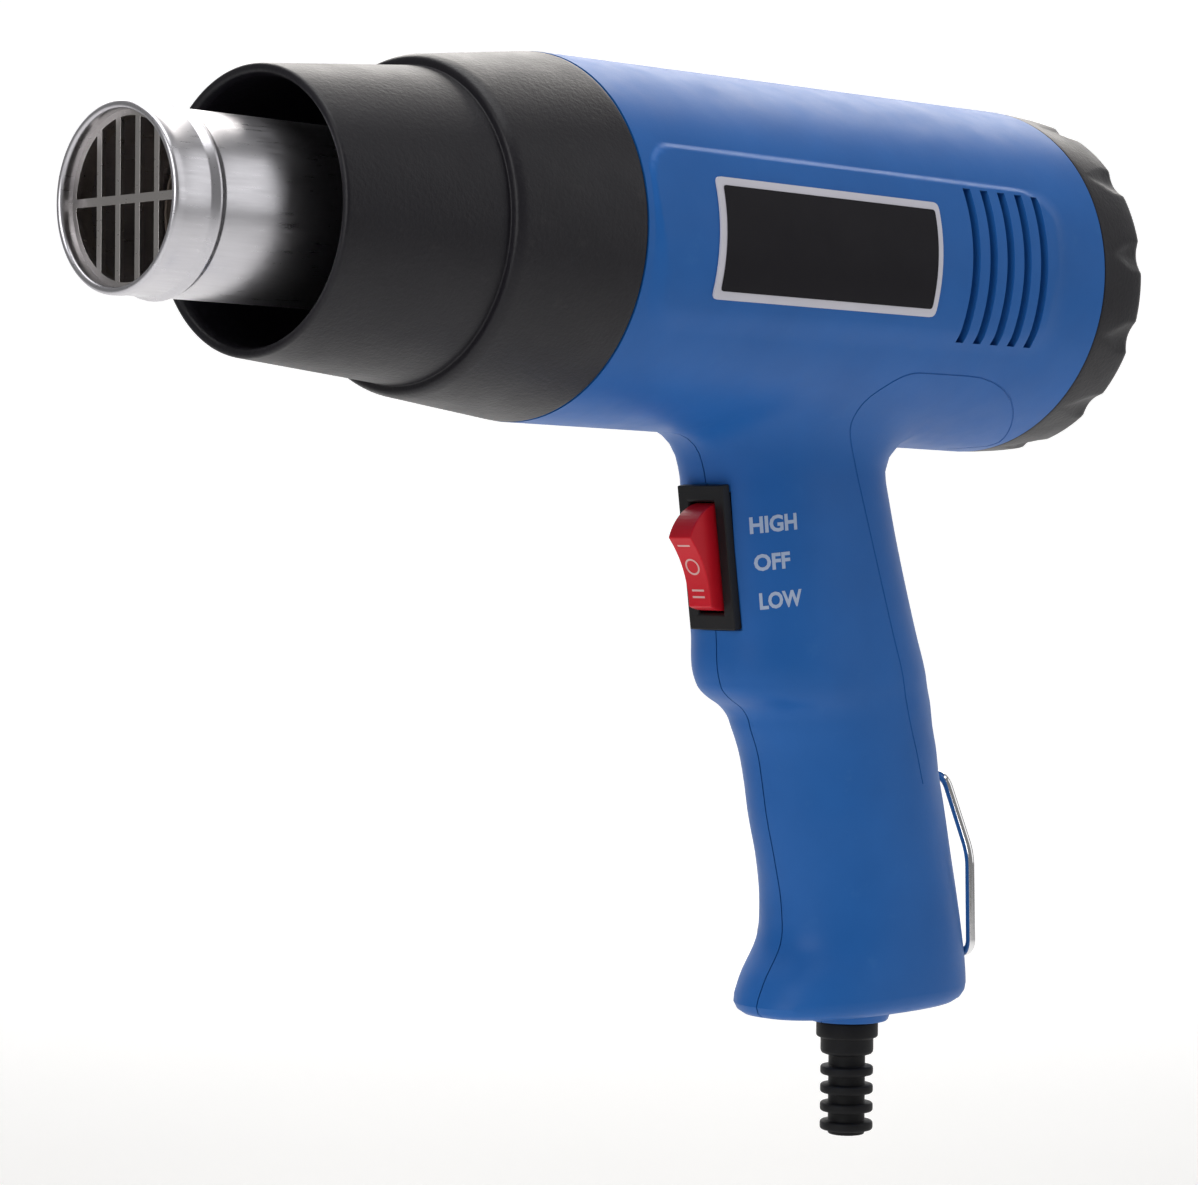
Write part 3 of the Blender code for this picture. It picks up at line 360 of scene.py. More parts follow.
def swept_parts(path, radii, sides):
    """Round tube along a list of points, with flat ends."""
    path = np.array(path, float)
    radii = np.broadcast_to(np.array(radii, float), (len(path),))
    tangents = np.gradient(path, axis=0)
    tangents /= np.linalg.norm(tangents, axis=1)[:, None]
    normal = np.cross(tangents[0], (0.31, 0.52, 0.79))
    verts = []
    for point, tangent, radius in zip(path, tangents, radii):
        normal = normal - tangent * normal.dot(tangent)
        normal /= np.linalg.norm(normal)
        side = np.cross(tangent, normal)
        for angle in ring_angles(sides):
            verts.append(point + radius * (math.cos(angle) * normal + math.sin(angle) * side))
    ends = [tuple(range(sides - 1, -1, -1)), tuple(range(len(verts) - sides, len(verts)))]
    return verts, grid_faces(len(path), sides) + ends


# ==== clamshell shape
def smoothstep(edge0, edge1, value):
    t = np.clip((value - edge0) / (edge1 - edge0), 0.0, 1.0)
    return t * t * (3.0 - 2.0 * t)


def barrel_radius(x):
    share = (x - HOUSING_X) / (HOUSING_END_X - HOUSING_X)
    return HOUSING_R + (HOUSING_END_R - HOUSING_R) * share


def pad_rise(x, height):
    """Raised rounded rectangle with a crisp top edge and a faint bottom one."""
    middle_x, half_x = sum(PAD_X) / 2, (PAD_X[1] - PAD_X[0]) / 2
    middle_z, half_z = sum(PAD_Z) / 2, (PAD_Z[1] - PAD_Z[0]) / 2
    dx = np.abs(x - middle_x) - half_x + PAD_CORNER
    dz = np.abs(height - middle_z) - half_z + PAD_CORNER
    outside = np.hypot(np.maximum(dx, 0.0), np.maximum(dz, 0.0))
    distance = outside + np.minimum(np.maximum(dx, dz), 0.0) - PAD_CORNER
    upper = smoothstep(-12.0, 6.0, height)
    width = PAD_EDGE[0] + (PAD_EDGE[1] - PAD_EDGE[0]) * upper
    width = width + 7.0 * smoothstep(PAD_X[1] - 16.0, PAD_X[1], x)
    return PAD_RISE * (1.0 - smoothstep(0.0, 1.0, 1.0 + distance / width))


def handle_section(z):
    """Front, rear, half width and squareness, on cubic curves through the table."""
    table = np.array(HANDLE_SECTIONS)[::-1]
    heights = table[:, 0]
    z = np.clip(z, heights[0], heights[-1])
    row = np.clip(np.searchsorted(heights, z) - 1, 0, len(heights) - 2)
    width = heights[row + 1] - heights[row]
    t = (z - heights[row]) / width
    values = []
    for column in table.T[1:]:
        slopes = np.gradient(column, heights)
        low = column[row] * (1 + 2 * t) + slopes[row] * width * t
        high = column[row + 1] * (3 - 2 * t) - slopes[row + 1] * width * (1 - t)
        values.append(low * (1 - t) ** 2 + high * t ** 2)
    return values


def field(points, raised=True):
    """Signed distance-like value of the clamshell outside, blended at the neck."""
    x, y, z = points.T
    height = z - AXIS_Z
    barrel = np.hypot(y, height) - barrel_radius(x)
    if raised:
        barrel = barrel - pad_rise(x, height)
    front, rear, half, power = handle_section(z)
    u = (x - (front + rear) / 2) / ((rear - front) / 2)
    v = y / half
    spread = (np.abs(u) ** power + np.abs(v) ** power) ** (1 / power)
    spread = np.maximum(spread, 1e-6)
    reach = np.hypot(x - (front + rear) / 2, y)
    handle = np.maximum(reach * (1 - 1 / spread), height)
    mix = np.maximum(NECK_BLEND - np.abs(barrel - handle), 0.0) / NECK_BLEND
    return np.minimum(barrel, handle) - mix * mix * NECK_BLEND / 4


def slope_of(points, raised=True, nudge=0.05):
    ahead = [field(points + nudge * axis, raised) for axis in np.eye(3)]
    behind = [field(points - nudge * axis, raised) for axis in np.eye(3)]
    return (np.stack(ahead, axis=1) - np.stack(behind, axis=1)) / (2 * nudge)


def settle(points, level, raised=True, steps=8):
    """Move points along the gradient until the field takes the given level."""
    points = np.array(points, float)
    for _ in range(steps):
        value = field(points, raised) - level
        slope = slope_of(points, raised)
        size = np.maximum((slope ** 2).sum(axis=1), 0.2)
        points -= slope * (value / size)[:, None]
    return points


def spaced(knots, step):
    """Values from the first knot to the last that pass through every knot."""
    values = [knots[0]]
    for low, high in zip(knots, knots[1:]):
        count = max(1, round((high - low) / step))
        values += [low + (high - low) * k / count for k in range(1, count + 1)]
    return values


class Weave:
    """How finely one skin of the clamshell is meshed."""

    def __init__(self, step):
        edge = min(step, 0.45)
        self.step = step
        self.neck_rows = max(5, round(25.0 / step))
        self.neck_columns = max(10, round((NECK_X[1] - NECK_X[0]) / step))
        turn = math.degrees(1 / 38.0)
        self.angles = [NECK_ANGLE * k / self.neck_rows for k in range(self.neck_rows + 1)]
        for last, arc in ((58.0, step), (68.0, 2 * edge), (111.0, step), (118.5, edge),
                          (180.0, step)):
            self.angles += spaced((self.angles[-1], last), arc * turn)[1:]
        self.angles += [360.0 - a for a in reversed(self.angles[1:-1])]

    def stations(self, first, last):
        edge = min(self.step, 0.45)
        front = spaced((PAD_X[0] - 0.4, PAD_X[0] + 4.0), edge)
        middle = spaced((front[-1], NECK_X[0]), self.step)[1:]
        neck = list(np.linspace(NECK_X[0], NECK_X[1], self.neck_columns + 1))[1:]
        back = spaced((NECK_X[1], PAD_X[1] - 4.0, PAD_X[1] + 0.4), edge)[1:]
        tail = spaced((back[-1], HOUSING_END_X), self.step)[1:]
        inner = [x for x in front + middle + neck + back + tail if first < x < last]
        return [first] + inner + [last]


def neck_turns(weave):
    across, along = 2 * weave.neck_rows, weave.neck_columns
    turns = []
    for start, count in ((-45, across), (45, along), (135, across), (225, along)):
        turns += [start + 90 * k / count for k in range(count)]
    return np.radians(turns)


def handle_ring(weave, z, inset=0.0):
    """Cross-section points in the order of the neck opening, starting at its front."""
    front, rear, half, power = handle_section(z)
    centre, reach = (front + rear) / 2, (rear - front) / 2 - inset
    points = []
    for turn in neck_turns(weave):
        c, s = math.cos(turn), math.sin(turn)
        scale = (abs(c) ** power + abs(s) ** power) ** (-1 / power)
        points.append((centre - reach * c * scale, (half - inset) * s * scale, z))
    return np.array(points)


def cord_ring(weave, radius, z):
    return np.array([(CORD_X - radius * math.cos(t), radius * math.sin(t), z)
                     for t in neck_turns(weave)])


def clamshell_solid(name, weave, level, ends, lead, floor_z, boss, raised):
    """Closed barrel-and-handle solid whose skin lies on one level of the field."""
    xs = weave.stations(*ends)
    angles = weave.angles
    count, rows = len(angles), weave.neck_rows
    first_neck = int(np.argmin(np.abs(np.array(xs) - NECK_X[0])))
    last_neck = first_neck + weave.neck_columns
    verts, index = [], {}
    for i, x in enumerate(xs):
        radius = barrel_radius(x) + level
        for j, angle in enumerate(np.radians(angles)):
            if first_neck < i < last_neck and min(j, count - j) < rows:
                continue
            index[i, j] = len(verts)
            verts.append((x, radius * math.sin(angle), AXIS_Z - radius * math.cos(angle)))
    faces = []
    for i in range(len(xs) - 1):
        for j in range(count):
            k = (j + 1) % count
            if first_neck <= i < last_neck and (j < rows or j >= count - rows):
                continue
            faces.append((index[i, j], index[i, k], index[i + 1, k], index[i + 1, j]))
    rim = neck_rim(index, first_neck, last_neck, count, rows)
    faces += handle_walls(verts, rim, weave, level, floor_z, boss)
    before = np.array(verts)
    after = settle(before, level, raised)
    ends_x = np.isclose(before[:, 0], xs[0]) | np.isclose(before[:, 0], xs[-1])
    after[ends_x, 0] = before[ends_x, 0]
    low = before[:, 2] < floor_z + HANDLE_FOOT_R - 0.01
    after[low] = before[low]
    verts = [tuple(v) for v in after]
    faces += barrel_ends(verts, index, len(xs), count, lead)
    return mesh_object(name, verts, faces, smooth=50.0)


def neck_rim(index, first, last, count, rows):
    """Barrel vertices around the neck opening, from front -Y round to front -Y."""
    rim = [index[first, offset % count] for offset in range(-rows, rows)]
    rim += [index[i, rows] for i in range(first, last)]
    rim += [index[last, offset % count] for offset in range(rows, -rows, -1)]
    rim += [index[i, count - rows] for i in range(last, first, -1)]
    return rim


def handle_walls(verts, rim, weave, level, floor_z, boss):
    """Rings from the neck opening down to the closed bottom of the handle."""
    start = np.array([verts[i] for i in rim])
    neck = handle_ring(weave, 62.0)
    shares = np.linspace(0.0, 1.0, max(4, round(22.0 / weave.step)))[1:-1]
    rings = [start * (1 - t) + neck * t for t in shares]
    heights = spaced((floor_z + HANDLE_FOOT_R, -30.0, 8.0), weave.step)
    heights += spaced((8.0, 21.0), min(weave.step, 0.9))[1:]
    heights += spaced((21.0, 62.0), weave.step)[1:]
    rings += [handle_ring(weave, z) for z in reversed(heights)]
    for turn in np.radians((22.5, 45.0, 67.5, 90.0)):
        inset = HANDLE_FOOT_R * (1 - math.cos(turn)) - level
        depth = floor_z + HANDLE_FOOT_R * (1 - math.sin(turn))
        rings.append(handle_ring(weave, depth, inset))
    rings += [cord_ring(weave, radius, z) for z, radius in boss]
    faces, above = [], rim
    for ring in rings:
        below = list(range(len(verts), len(verts) + len(ring)))
        verts.extend(tuple(p) for p in ring)
        faces += band(above, below)
        above = below
    faces.append(tuple(above))
    return faces


def barrel_ends(verts, index, rows, count, lead):
    """Close both ends; lead adds narrower rings in front as (x, radius)."""
    faces = []
    front = [index[0, j] for j in range(count)]
    back = [index[rows - 1, j] for j in range(count)]
    for x, radius in lead:
        ring = []
        for j in front:
            y, z = verts[j][1], verts[j][2] - AXIS_Z
            scale = radius / math.hypot(y, z)
            ring.append((x, y * scale, AXIS_Z + z * scale))
        below = list(range(len(verts), len(verts) + count))
        verts.extend(ring)
        faces += band(front, below)
        front = below
    return faces + [tuple(front), tuple(back)]


def tipped(points, degrees, pivot=0.0):
    """Points (depth, across, up) turned in side view about a place at the pivot's depth."""
    c, s = math.cos(math.radians(degrees)), math.sin(math.radians(degrees))
    return [(pivot + (depth - pivot) * c - up * s, across, (depth - pivot) * s + up * c)
            for depth, across, up in points]


def switch_place(points):
    """Switch coordinates (depth, across, up the face) to gun coordinates."""
    return [(SWITCH_X + x, y, SWITCH_Z + z) for x, y, z in tipped(points, SWITCH_TILT)]


def shell_cutters():
    """Air slots, bezel bed, switch window, loop sockets and cord bore."""
    parts = []
    for number in range(SLOT_COUNT):
        x = SLOT_X + number * SLOT_PITCH
        for y_low, y_high in ((-46.0, -27.0), (27.0, 46.0)):
            low = (x - SLOT_WIDTH / 2, y_low, AXIS_Z + SLOT_Z[0])
            high = (x + SLOT_WIDTH / 2, y_high, AXIS_Z + SLOT_Z[1])
            parts.append(box_parts([(low, high)]))
    slots = joined("slot_tool", parts)
    beds = []
    for width, height, depth in ((SWITCH_BOX[0], SWITCH_BOX[1], 9.0),
                                 (BEZEL_SIZE[0], BEZEL_SIZE[1], BEZEL_SIZE[2] + GAP / 2)):
        half_w, half_h = width / 2 + GAP, height / 2 + GAP
        verts, faces = box_parts([((-6.0, -half_w, -half_h), (depth, half_w, half_h))])
        beds.append(mesh_object("bed_tool", switch_place(verts), faces, smooth=0.0))
    socket = joined("socket_tool", [rod_parts(LOOP_X, LOOP_Z, -20.0, 20.0, LOOP_WIRE_R + 0.15)])
    profile = ((-45.0, 0.0), (-45.0, CORD_BORE_R), (-62.0, CORD_BORE_R), (-62.0, 0.0))
    bore = turned("bore_tool", profile, count=48, axis="Z", centre=(CORD_X, 0.0), closed=False)
    return [slots, socket, bore, insert_groove(-1), insert_groove(1)] + beds


def skin_depth(x, z):
    """Distance of the skin from the parting plane at places in the side view, by halving."""
    inside, outside = np.zeros(len(x)), np.full(len(x), 50.0)
    for _ in range(30):
        middle = (inside + outside) / 2
        within = field(np.stack((x, middle, z), axis=1)) < 0.0
        inside = np.where(within, middle, inside)
        outside = np.where(within, outside, middle)
    return inside


def insert_groove(side):
    """Thin round tool that follows the skin along the edge of the rear insert."""
    edge = rounded_profile((
        (INSERT_REAR[0] - 9.2, INSERT_REAR[1] - 0.9, 0.0), (*INSERT_REAR, 2.0),
        (17.0, INSERT_TOP_Z, 14.0), (INSERT_FRONT_X + 7.0, INSERT_TOP_Z, 5.0),
        (INSERT_FRONT_X, INSERT_TOP_Z - 6.0, 4.0), (INSERT_FRONT_X, INSERT_NECK[1] + 8.0, 2.0),
        (*INSERT_NECK, 3.0), (*INSERT_FOOT, 0.0)), closed=False)
    x, z = np.array(edge).T
    along = np.concatenate(([0.0], np.cumsum(np.hypot(np.diff(x), np.diff(z)))))
    places = np.linspace(0.0, along[-1], round(along[-1] / INSERT_STEP))
    x, z = np.interp(places, along, x), np.interp(places, along, z)
    path = np.stack((x, side * skin_depth(x, z), z), axis=1)
    verts, faces = swept_parts(path, INSERT_GROOVE_R, 8)
    return mesh_object("groove_tool_%d" % side, verts, faces)


def read(items, name, width=3):
    """One attribute of many mesh items: whole numbers, or rows of width numbers."""
    values = np.empty(len(items) * width, dtype=int if width == 1 else float)
    items.foreach_get(name, values)
    return values if width == 1 else values.reshape(-1, width)


def lay_skin_normals(obj):
    """Give the outer skin the exact normals of the field; the rest keeps its own."""
    mesh = obj.data
    shade(mesh, 35.0)
    points = read(mesh.vertices, "co") / MM
    slope = slope_of(points)
    slope /= np.maximum(np.linalg.norm(slope, axis=1), 1e-6)[:, None]
    on_skin = (np.abs(field(points)) < 0.06) & (points[:, 2] > HANDLE_BOTTOM_Z + HANDLE_FOOT_R - 0.2)
    corners = read(mesh.corner_normals, "vector")
    owner = read(mesh.loops, "vertex_index", 1)
    starts = read(mesh.polygons, "loop_start", 1)
    sizes = read(mesh.polygons, "loop_total", 1)
    order = np.concatenate([np.arange(s, s + n) for s, n in zip(starts, sizes)])
    facing = np.empty((len(mesh.loops), 3))
    facing[order] = np.repeat(read(mesh.polygons, "normal"), sizes, axis=0)
    wanted = slope[owner]
    agree = (facing * wanted).sum(axis=1) > 0.8
    use = on_skin[owner] & agree
    corners[use] = wanted[use]
    mesh.normals_split_custom_set(corners.tolist())


# ==== pieces
def build_shells():
    weave = Weave(1.6)
    plain = Weave(7.0)
    boss = ((HANDLE_BOTTOM_Z, CORD_BOSS_R + 0.7), (HANDLE_BOTTOM_Z - 0.8, CORD_BOSS_R),
            (CORD_BOSS_Z + 0.3, CORD_BOSS_R - 0.5), (CORD_BOSS_Z, CORD_BOSS_R - 0.8))
    lead = ((HOUSING_X, SPIGOT_R), (SPIGOT_X, SPIGOT_R))
    outer = clamshell_solid("shell", weave, 0.0, (HOUSING_X, HOUSING_END_X), lead,
                            HANDLE_BOTTOM_Z, boss, True)
    lead = ((-103.0, barrel_radius(-103.0) - WALL), (-103.4, 32.2), (SPIGOT_X - 3.0, 32.2))
    cavity = clamshell_solid("cavity_tool", plain, -WALL, (-101.0, HOUSING_END_X + 3.0), lead,
                             HANDLE_BOTTOM_Z + HANDLE_FLOOR, (), False)
    cut(outer, cavity)
    for cutter in shell_cutters():
        cut(outer, cutter)
    baked(outer)
    shells = []
    for name, side in (("shell_left", -1), ("shell_right", 1)):
        half = link(bpy.data.objects.new(name, outer.data.copy()))
        low_y, high_y = sorted((-side * 60.0, side * GAP / 2))
        other_half = box_parts([((-150.0, low_y, -100.0), (80.0, high_y, 180.0))])
        cut(half, joined(name + "_split_tool", [other_half]))
        if side > 0:
            shafts = [rod_parts(x, z, -1.0, 45.0, 1.7, 16) for x, z in SCREW_SPOTS]
            wells = [rod_parts(x, z, SCREW_SEAT_Y, 45.0, 3.4) for x, z in SCREW_SPOTS]
            cut(half, joined("well_tool", wells))
            cut(half, joined("shaft_tool", shafts))
        lay_skin_normals(baked(half))
        shells.append(half)
    bpy.data.objects.remove(outer, do_unlink=True)
    return shells


def build_shroud():
    outline = (
        (SHROUD_X + 2.0, 25.0, 0.6), (SHROUD_X, 25.6, 1.2), (SHROUD_X, 27.2, 1.2),
        (STEP_X - 0.5, 30.8, 0.3), (STEP_X - 0.5, 32.4, 1.0), (STEP_X + 1.2, 33.15, 1.5),
        (-106.0, HOUSING_R - 0.1, 1.0), (HOUSING_X - GAP, HOUSING_R - 0.1, 0.5),
        (HOUSING_X - GAP, SPIGOT_R + GAP, 0.0), (SPIGOT_X - GAP, SPIGOT_R + GAP, 0.0),
        (SPIGOT_X - GAP, 32.6, 0.0), (-124.0, 31.2, 0.0), (-124.0, 18.4, 0.3),
        (-126.0, 18.4, 0.3), (-126.0, 30.6, 2.0), (STEP_X + 2.0, 29.6, 1.0),
        (STEP_X - 1.5, 28.3, 1.0),
    )
    return turned("shroud", rounded_profile(outline), count=160)


def scooped(along, radius, angle):
    """Cut the finger scoops round the cap's rear edge."""
    if radius < 33.0 or along < 44.0:
        return radius
    pitch = 360.0 / CAP_SCOOPS
    turn = math.degrees(angle) - CAP_SCOOP_PHASE
    near = abs((turn + pitch / 2) % pitch - pitch / 2)
    reach = 5.6 * float(smoothstep(43.0, 55.0, along))
    depth = 1.15 * reach / 5.6 * max(0.0, 1.0 - (near / max(reach, 0.1)) ** 2)
    return radius - depth


def build_cap():
    outline = (
        (HOUSING_END_X + GAP, CAP_R - 0.05, 0.5), (43.0, CAP_R - 0.05, 0.0),
        (45.0, CAP_R - 0.1, 0.0), (47.0, CAP_R - 0.2, 0.0), (49.0, CAP_R - 0.3, 0.0),
        (51.0, CAP_R - 0.4, 0.0), (53.0, CAP_R - 0.55, 0.0), (CAP_END_X, CAP_R - 1.0, 2.4),
        (CAP_END_X, 31.0, 1.2),
        (55.6, 30.0, 1.0), (54.6, 12.0, 0.6), (54.6, 4.0, 0.5), (52.6, 4.0, 0.0),
        (52.6, 12.0, 0.0), (53.4, 30.6, 0.0), (46.0, 33.4, 0.0), (35.5, 33.4, 0.0),
        (35.5, 35.9, 0.0), (HOUSING_END_X + GAP, 35.9, 0.0),
    )
    cap = turned("cap", rounded_profile(outline), count=416, shape=scooped)
    slots = []
    for number in range(CAP_SLOTS):
        angle = 2 * math.pi * number / CAP_SLOTS
        verts, faces = box_parts([((50.0, 9.0, -1.4), (57.0, 27.5, 1.4))])
        c, s = math.cos(angle), math.sin(angle)
        slots.append(([(x, y * c - z * s, AXIS_Z + y * s + z * c) for x, y, z in verts], faces))
    cut(cap, joined("cap_slot_tool", slots))
    baked(cap)
    shade(cap.data, 30.0)
    return cap


def build_nozzle():
    bead = NOZZLE_X + 9.9
    arc = [(bead + 1.9 * t, NOZZLE_R + 0.75 * math.cos(t * math.pi / 2) ** 2)
           for t in np.linspace(-1.0, 1.0, 17)]
    lip = [(NOZZLE_X + 0.75 - 0.75 * math.cos(t), 16.6 + 0.75 * math.sin(t))
           for t in np.linspace(-math.pi / 2, math.pi / 2, 9)]
    profile = [(NOZZLE_X + 2.2, 15.95)] + lip + [(NOZZLE_X + 2.2, 17.35), (NOZZLE_X + 3.0, NOZZLE_R)]
    profile += arc + [(-190.0, NOZZLE_R), (-93.5, 17.4), (-93.5, 16.6), (bead + 3.0, 16.4),
                      (bead - 3.0, 16.4)]
    return turned("nozzle", profile, count=160, smooth=30.0)


def build_grille():
    front = NOZZLE_X + 3.0
    disc = ((front, 0.0), (front, 16.1), (front + 4.0, 16.1), (front + 4.0, 15.6),
            (front + 1.0, 15.6), (front + 1.0, 0.0))
    grille = turned("grille", disc, closed=False)
    edges = (-14.9, -8.9, -7.5, -3.5, -2.1, 2.1, 3.5, 7.5, 8.9, 14.9)
    windows = []
    for left, right in zip(edges[::2], edges[1::2]):
        for side in (-1, 1):
            outline = []
            steps = 6
            for k in range(steps + 1):
                y = left + (right - left) * k / steps
                outline.append((y, side * max(math.sqrt(max(14.9 ** 2 - y * y, 0.0)), 2.0)))
            outline += [(right, side * 0.8), (left, side * 0.8)]
            verts = [(x, y, AXIS_Z + z) for x in (front - 2.0, front + 3.0) for y, z in outline]
            windows.append((verts, prism_faces(len(outline))))
    cut(grille, joined("grille_tool", windows))
    baked(grille)
    return rounded_edges(grille, 0.18)


def build_coil():
    turns, steps = 16, 28
    path = []
    for step in range(turns * steps + 1):
        angle = 2 * math.pi * step / steps
        x = COIL_X[0] + (COIL_X[1] - COIL_X[0]) * step / (turns * steps)
        path.append((x, 12.1 * math.cos(angle), AXIS_Z + 12.1 * math.sin(angle)))
    verts, faces = swept_parts(path, 0.75, 8)
    return mesh_object("coil", verts, faces, smooth=60.0)


def build_bezel():
    half_w, half_h, thick = BEZEL_SIZE[0] / 2, BEZEL_SIZE[1] / 2, BEZEL_SIZE[2]
    body_w, body_h, depth = SWITCH_BOX[0] / 2, SWITCH_BOX[1] / 2, SWITCH_BOX[2]
    well_w, well_h, floor = SWITCH_WELL[0] / 2, SWITCH_WELL[1] / 2, depth - 1.5
    stack = ((floor, well_w, well_h), (0.5, well_w, well_h), (0.0, well_w + 0.4, well_h + 0.4),
             (0.0, half_w, half_h), (thick, half_w, half_h), (thick, body_w, body_h),
             (depth, body_w, body_h))
    verts = []
    for x, w, h in stack:
        verts += [(x, -w, -h), (x, w, -h), (x, w, h), (x, -w, h)]
    faces = grid_faces(len(stack), 4)
    faces.append((0, 1, 2, 3))
    last = len(verts) - 4
    faces.append((last, last + 1, last + 2, last + 3))
    body = mesh_object("switch_bezel", switch_place(verts), faces, smooth=0.0)
    return rounded_edges(body, 0.35, 3)


def rocker_outline(end_steps, face_steps):
    """Neutral side view as (depth, up): rounded ends about the pivot, dished front."""
    lower = []
    for turn in np.radians(np.linspace(ROCKER_BACK, ROCKER_TIP, end_steps)):
        lower.append((ROCKER_PIVOT - ROCKER_R * math.cos(turn), -ROCKER_R * math.sin(turn)))
    tip_depth, tip_up = lower[-1]
    face = []
    for share in np.linspace(-1.0, 1.0, face_steps)[1:-1]:
        face.append((tip_depth + ROCKER_HOLLOW * (1 - share ** 2), -tip_up * share))
    upper = [(depth, -up) for depth, up in reversed(lower)]
    return [(7.0, -3.0)] + lower + face + upper + [(7.0, 3.0)]


def rocker_place(points):
    """Rocker coordinates (depth, across, up) at neutral, tipped to the rest pose."""
    return switch_place(tipped(points, ROCKER_SWING, ROCKER_PIVOT))


def build_rocker():
    outline = rocker_outline(14, 21)
    half = ROCKER_WIDTH / 2
    verts = [(depth, y, up) for y in (-half, half) for depth, up in outline]
    rocker = mesh_object("rocker_key", rocker_place(verts), prism_faces(len(outline)), smooth=0.0)
    return rounded_edges(rocker, 0.3, 3, angle=28.0)


def build_rocker_marks():
    """Bar, ring and double bar that lie on the rocker's concave face."""
    tip_depth, tip_up = rocker_outline(2, 3)[2]

    def on_face(across, up, lift):
        depth = tip_depth + ROCKER_HOLLOW * (1 - (up / tip_up) ** 2)
        return (depth - lift, across, up)

    parts = []
    for up in (5.9, -4.6, -6.0):
        verts = []
        for lift in (-0.05, 0.05):
            for y, u in ((-1.7, up - 0.2), (1.7, up - 0.2), (1.7, up + 0.2), (-1.7, up + 0.2)):
                verts.append(on_face(y, u, lift))
        faces = [(0, 1, 2, 3), (4, 5, 6, 7), (0, 1, 5, 4), (1, 2, 6, 5), (2, 3, 7, 6), (3, 0, 4, 7)]
        parts.append((rocker_place(verts), faces))
    verts, count = [], 40
    for lift, radius in ((-0.05, 1.5), (-0.05, 1.9), (0.05, 1.9), (0.05, 1.5)):
        for angle in ring_angles(count):
            verts.append(on_face(radius * math.cos(angle), radius * math.sin(angle) + 0.7, lift))
    faces = grid_faces(4, count) + band(range(3 * count, 4 * count), range(count))
    parts.append((rocker_place(verts), faces))
    return joined("rocker_marks", parts)


def beside_front(distance, height):
    """Point on the -Y side of the handle, so far round from the middle of its front."""
    front, rear, half, power = handle_section(height)
    centre, reach = (front + rear) / 2, (rear - front) / 2
    turns = np.linspace(0.0, math.pi / 2, 160)
    x = centre - reach * np.cos(turns) ** (2 / power)
    y = -half * np.sin(turns) ** (2 / power)
    along = np.concatenate(([0.0], np.cumsum(np.hypot(np.diff(x), np.diff(y)))))
    return np.interp(distance, along, x), np.interp(distance, along, y), height


def build_legend(word, distance, height, width):
    """Thin raised lettering wrapped round the handle."""
    curve = bpy.data.curves.new("legend_" + word, "FONT")
    curve.body = word
    curve.resolution_u = 3
    curve.offset = 0.034
    curve.extrude = 0.05
    text = link(bpy.data.objects.new("text_tool", curve))
    graph = bpy.context.evaluated_depsgraph_get()
    mesh = bpy.data.meshes.new_from_object(text.evaluated_get(graph))
    bpy.data.objects.remove(text, do_unlink=True)
    flat = read(mesh.vertices, "co")
    low, high = flat.min(axis=0), flat.max(axis=0)
    across = (flat[:, 0] - low[0]) / (high[0] - low[0]) * width
    up = (flat[:, 1] - low[1]) / (high[1] - low[1]) * LEGEND_HEIGHT
    lean = math.radians(LEGEND_LEAN)
    starts = [beside_front(distance + a * math.cos(lean), height + u + a * math.sin(lean))
              for a, u in zip(across, up)]
    outer = flat[:, 2] > 0.0
    spots = settle(starts, np.where(outer, 0.07, -0.05))
    mesh.vertices.foreach_set("co", (spots * MM).ravel())
    work = bmesh.new()
    work.from_mesh(mesh)
    bmesh.ops.remove_doubles(work, verts=work.verts, dist=0.002 * MM)
    face_outward(work, mesh)
    mesh.name = "legend_" + word.lower()
    return link(bpy.data.objects.new(mesh.name, mesh))


def build_loop():
    near_side = [
        (LOOP_X, -LOOP_PIN_Y, LOOP_Z), (LOOP_X, -LOOP_HALF, LOOP_Z),
        (LOOP_KNEE[0], -LOOP_HALF, LOOP_KNEE[1]), (LOOP_TOP_X, -LOOP_TOP_HALF, LOOP_TOP_Z),
    ]
    far_side = [(x, -y, z) for x, y, z in reversed(near_side)]
    corners = [(*point, LOOP_BEND) for point in near_side + far_side]
    path = rounded_profile(corners, closed=False, steps=10)
    verts, faces = swept_parts(path, LOOP_WIRE_R, 20)
    return mesh_object("wire_loop", verts, faces, smooth=60.0)


def build_relief():
    top = -47.5
    outline = [(top, CORD_R, 0.0), (top, 8.4, 0.2), (-50.7, 8.4, 0.2), (-50.7, 5.9, 0.0),
               (CORD_BOSS_Z - GAP, 5.9, 0.0), (CORD_BOSS_Z - GAP, 6.9, 0.4), (-60.5, 6.9, 0.5),
               (-60.7, 5.9, 0.2), (-64.2, 5.9, 0.8), (-64.6, RELIEF_NECK, 0.2)]
    for rib in range(4):
        z = -67.0 - 4.1 * rib
        outline += [(z, RELIEF_NECK, 0.2), (z, 5.9, 0.6), (z - 2.0, 5.9, 0.6),
                    (z - 2.0, RELIEF_NECK, 0.2)]
    outline += [(-82.3, RELIEF_NECK, 0.4), (-82.3, CORD_R, 0.3)]
    return turned("cord_relief", rounded_profile(outline, steps=3), count=64, axis="Z",
                  centre=(CORD_X, 0.0))


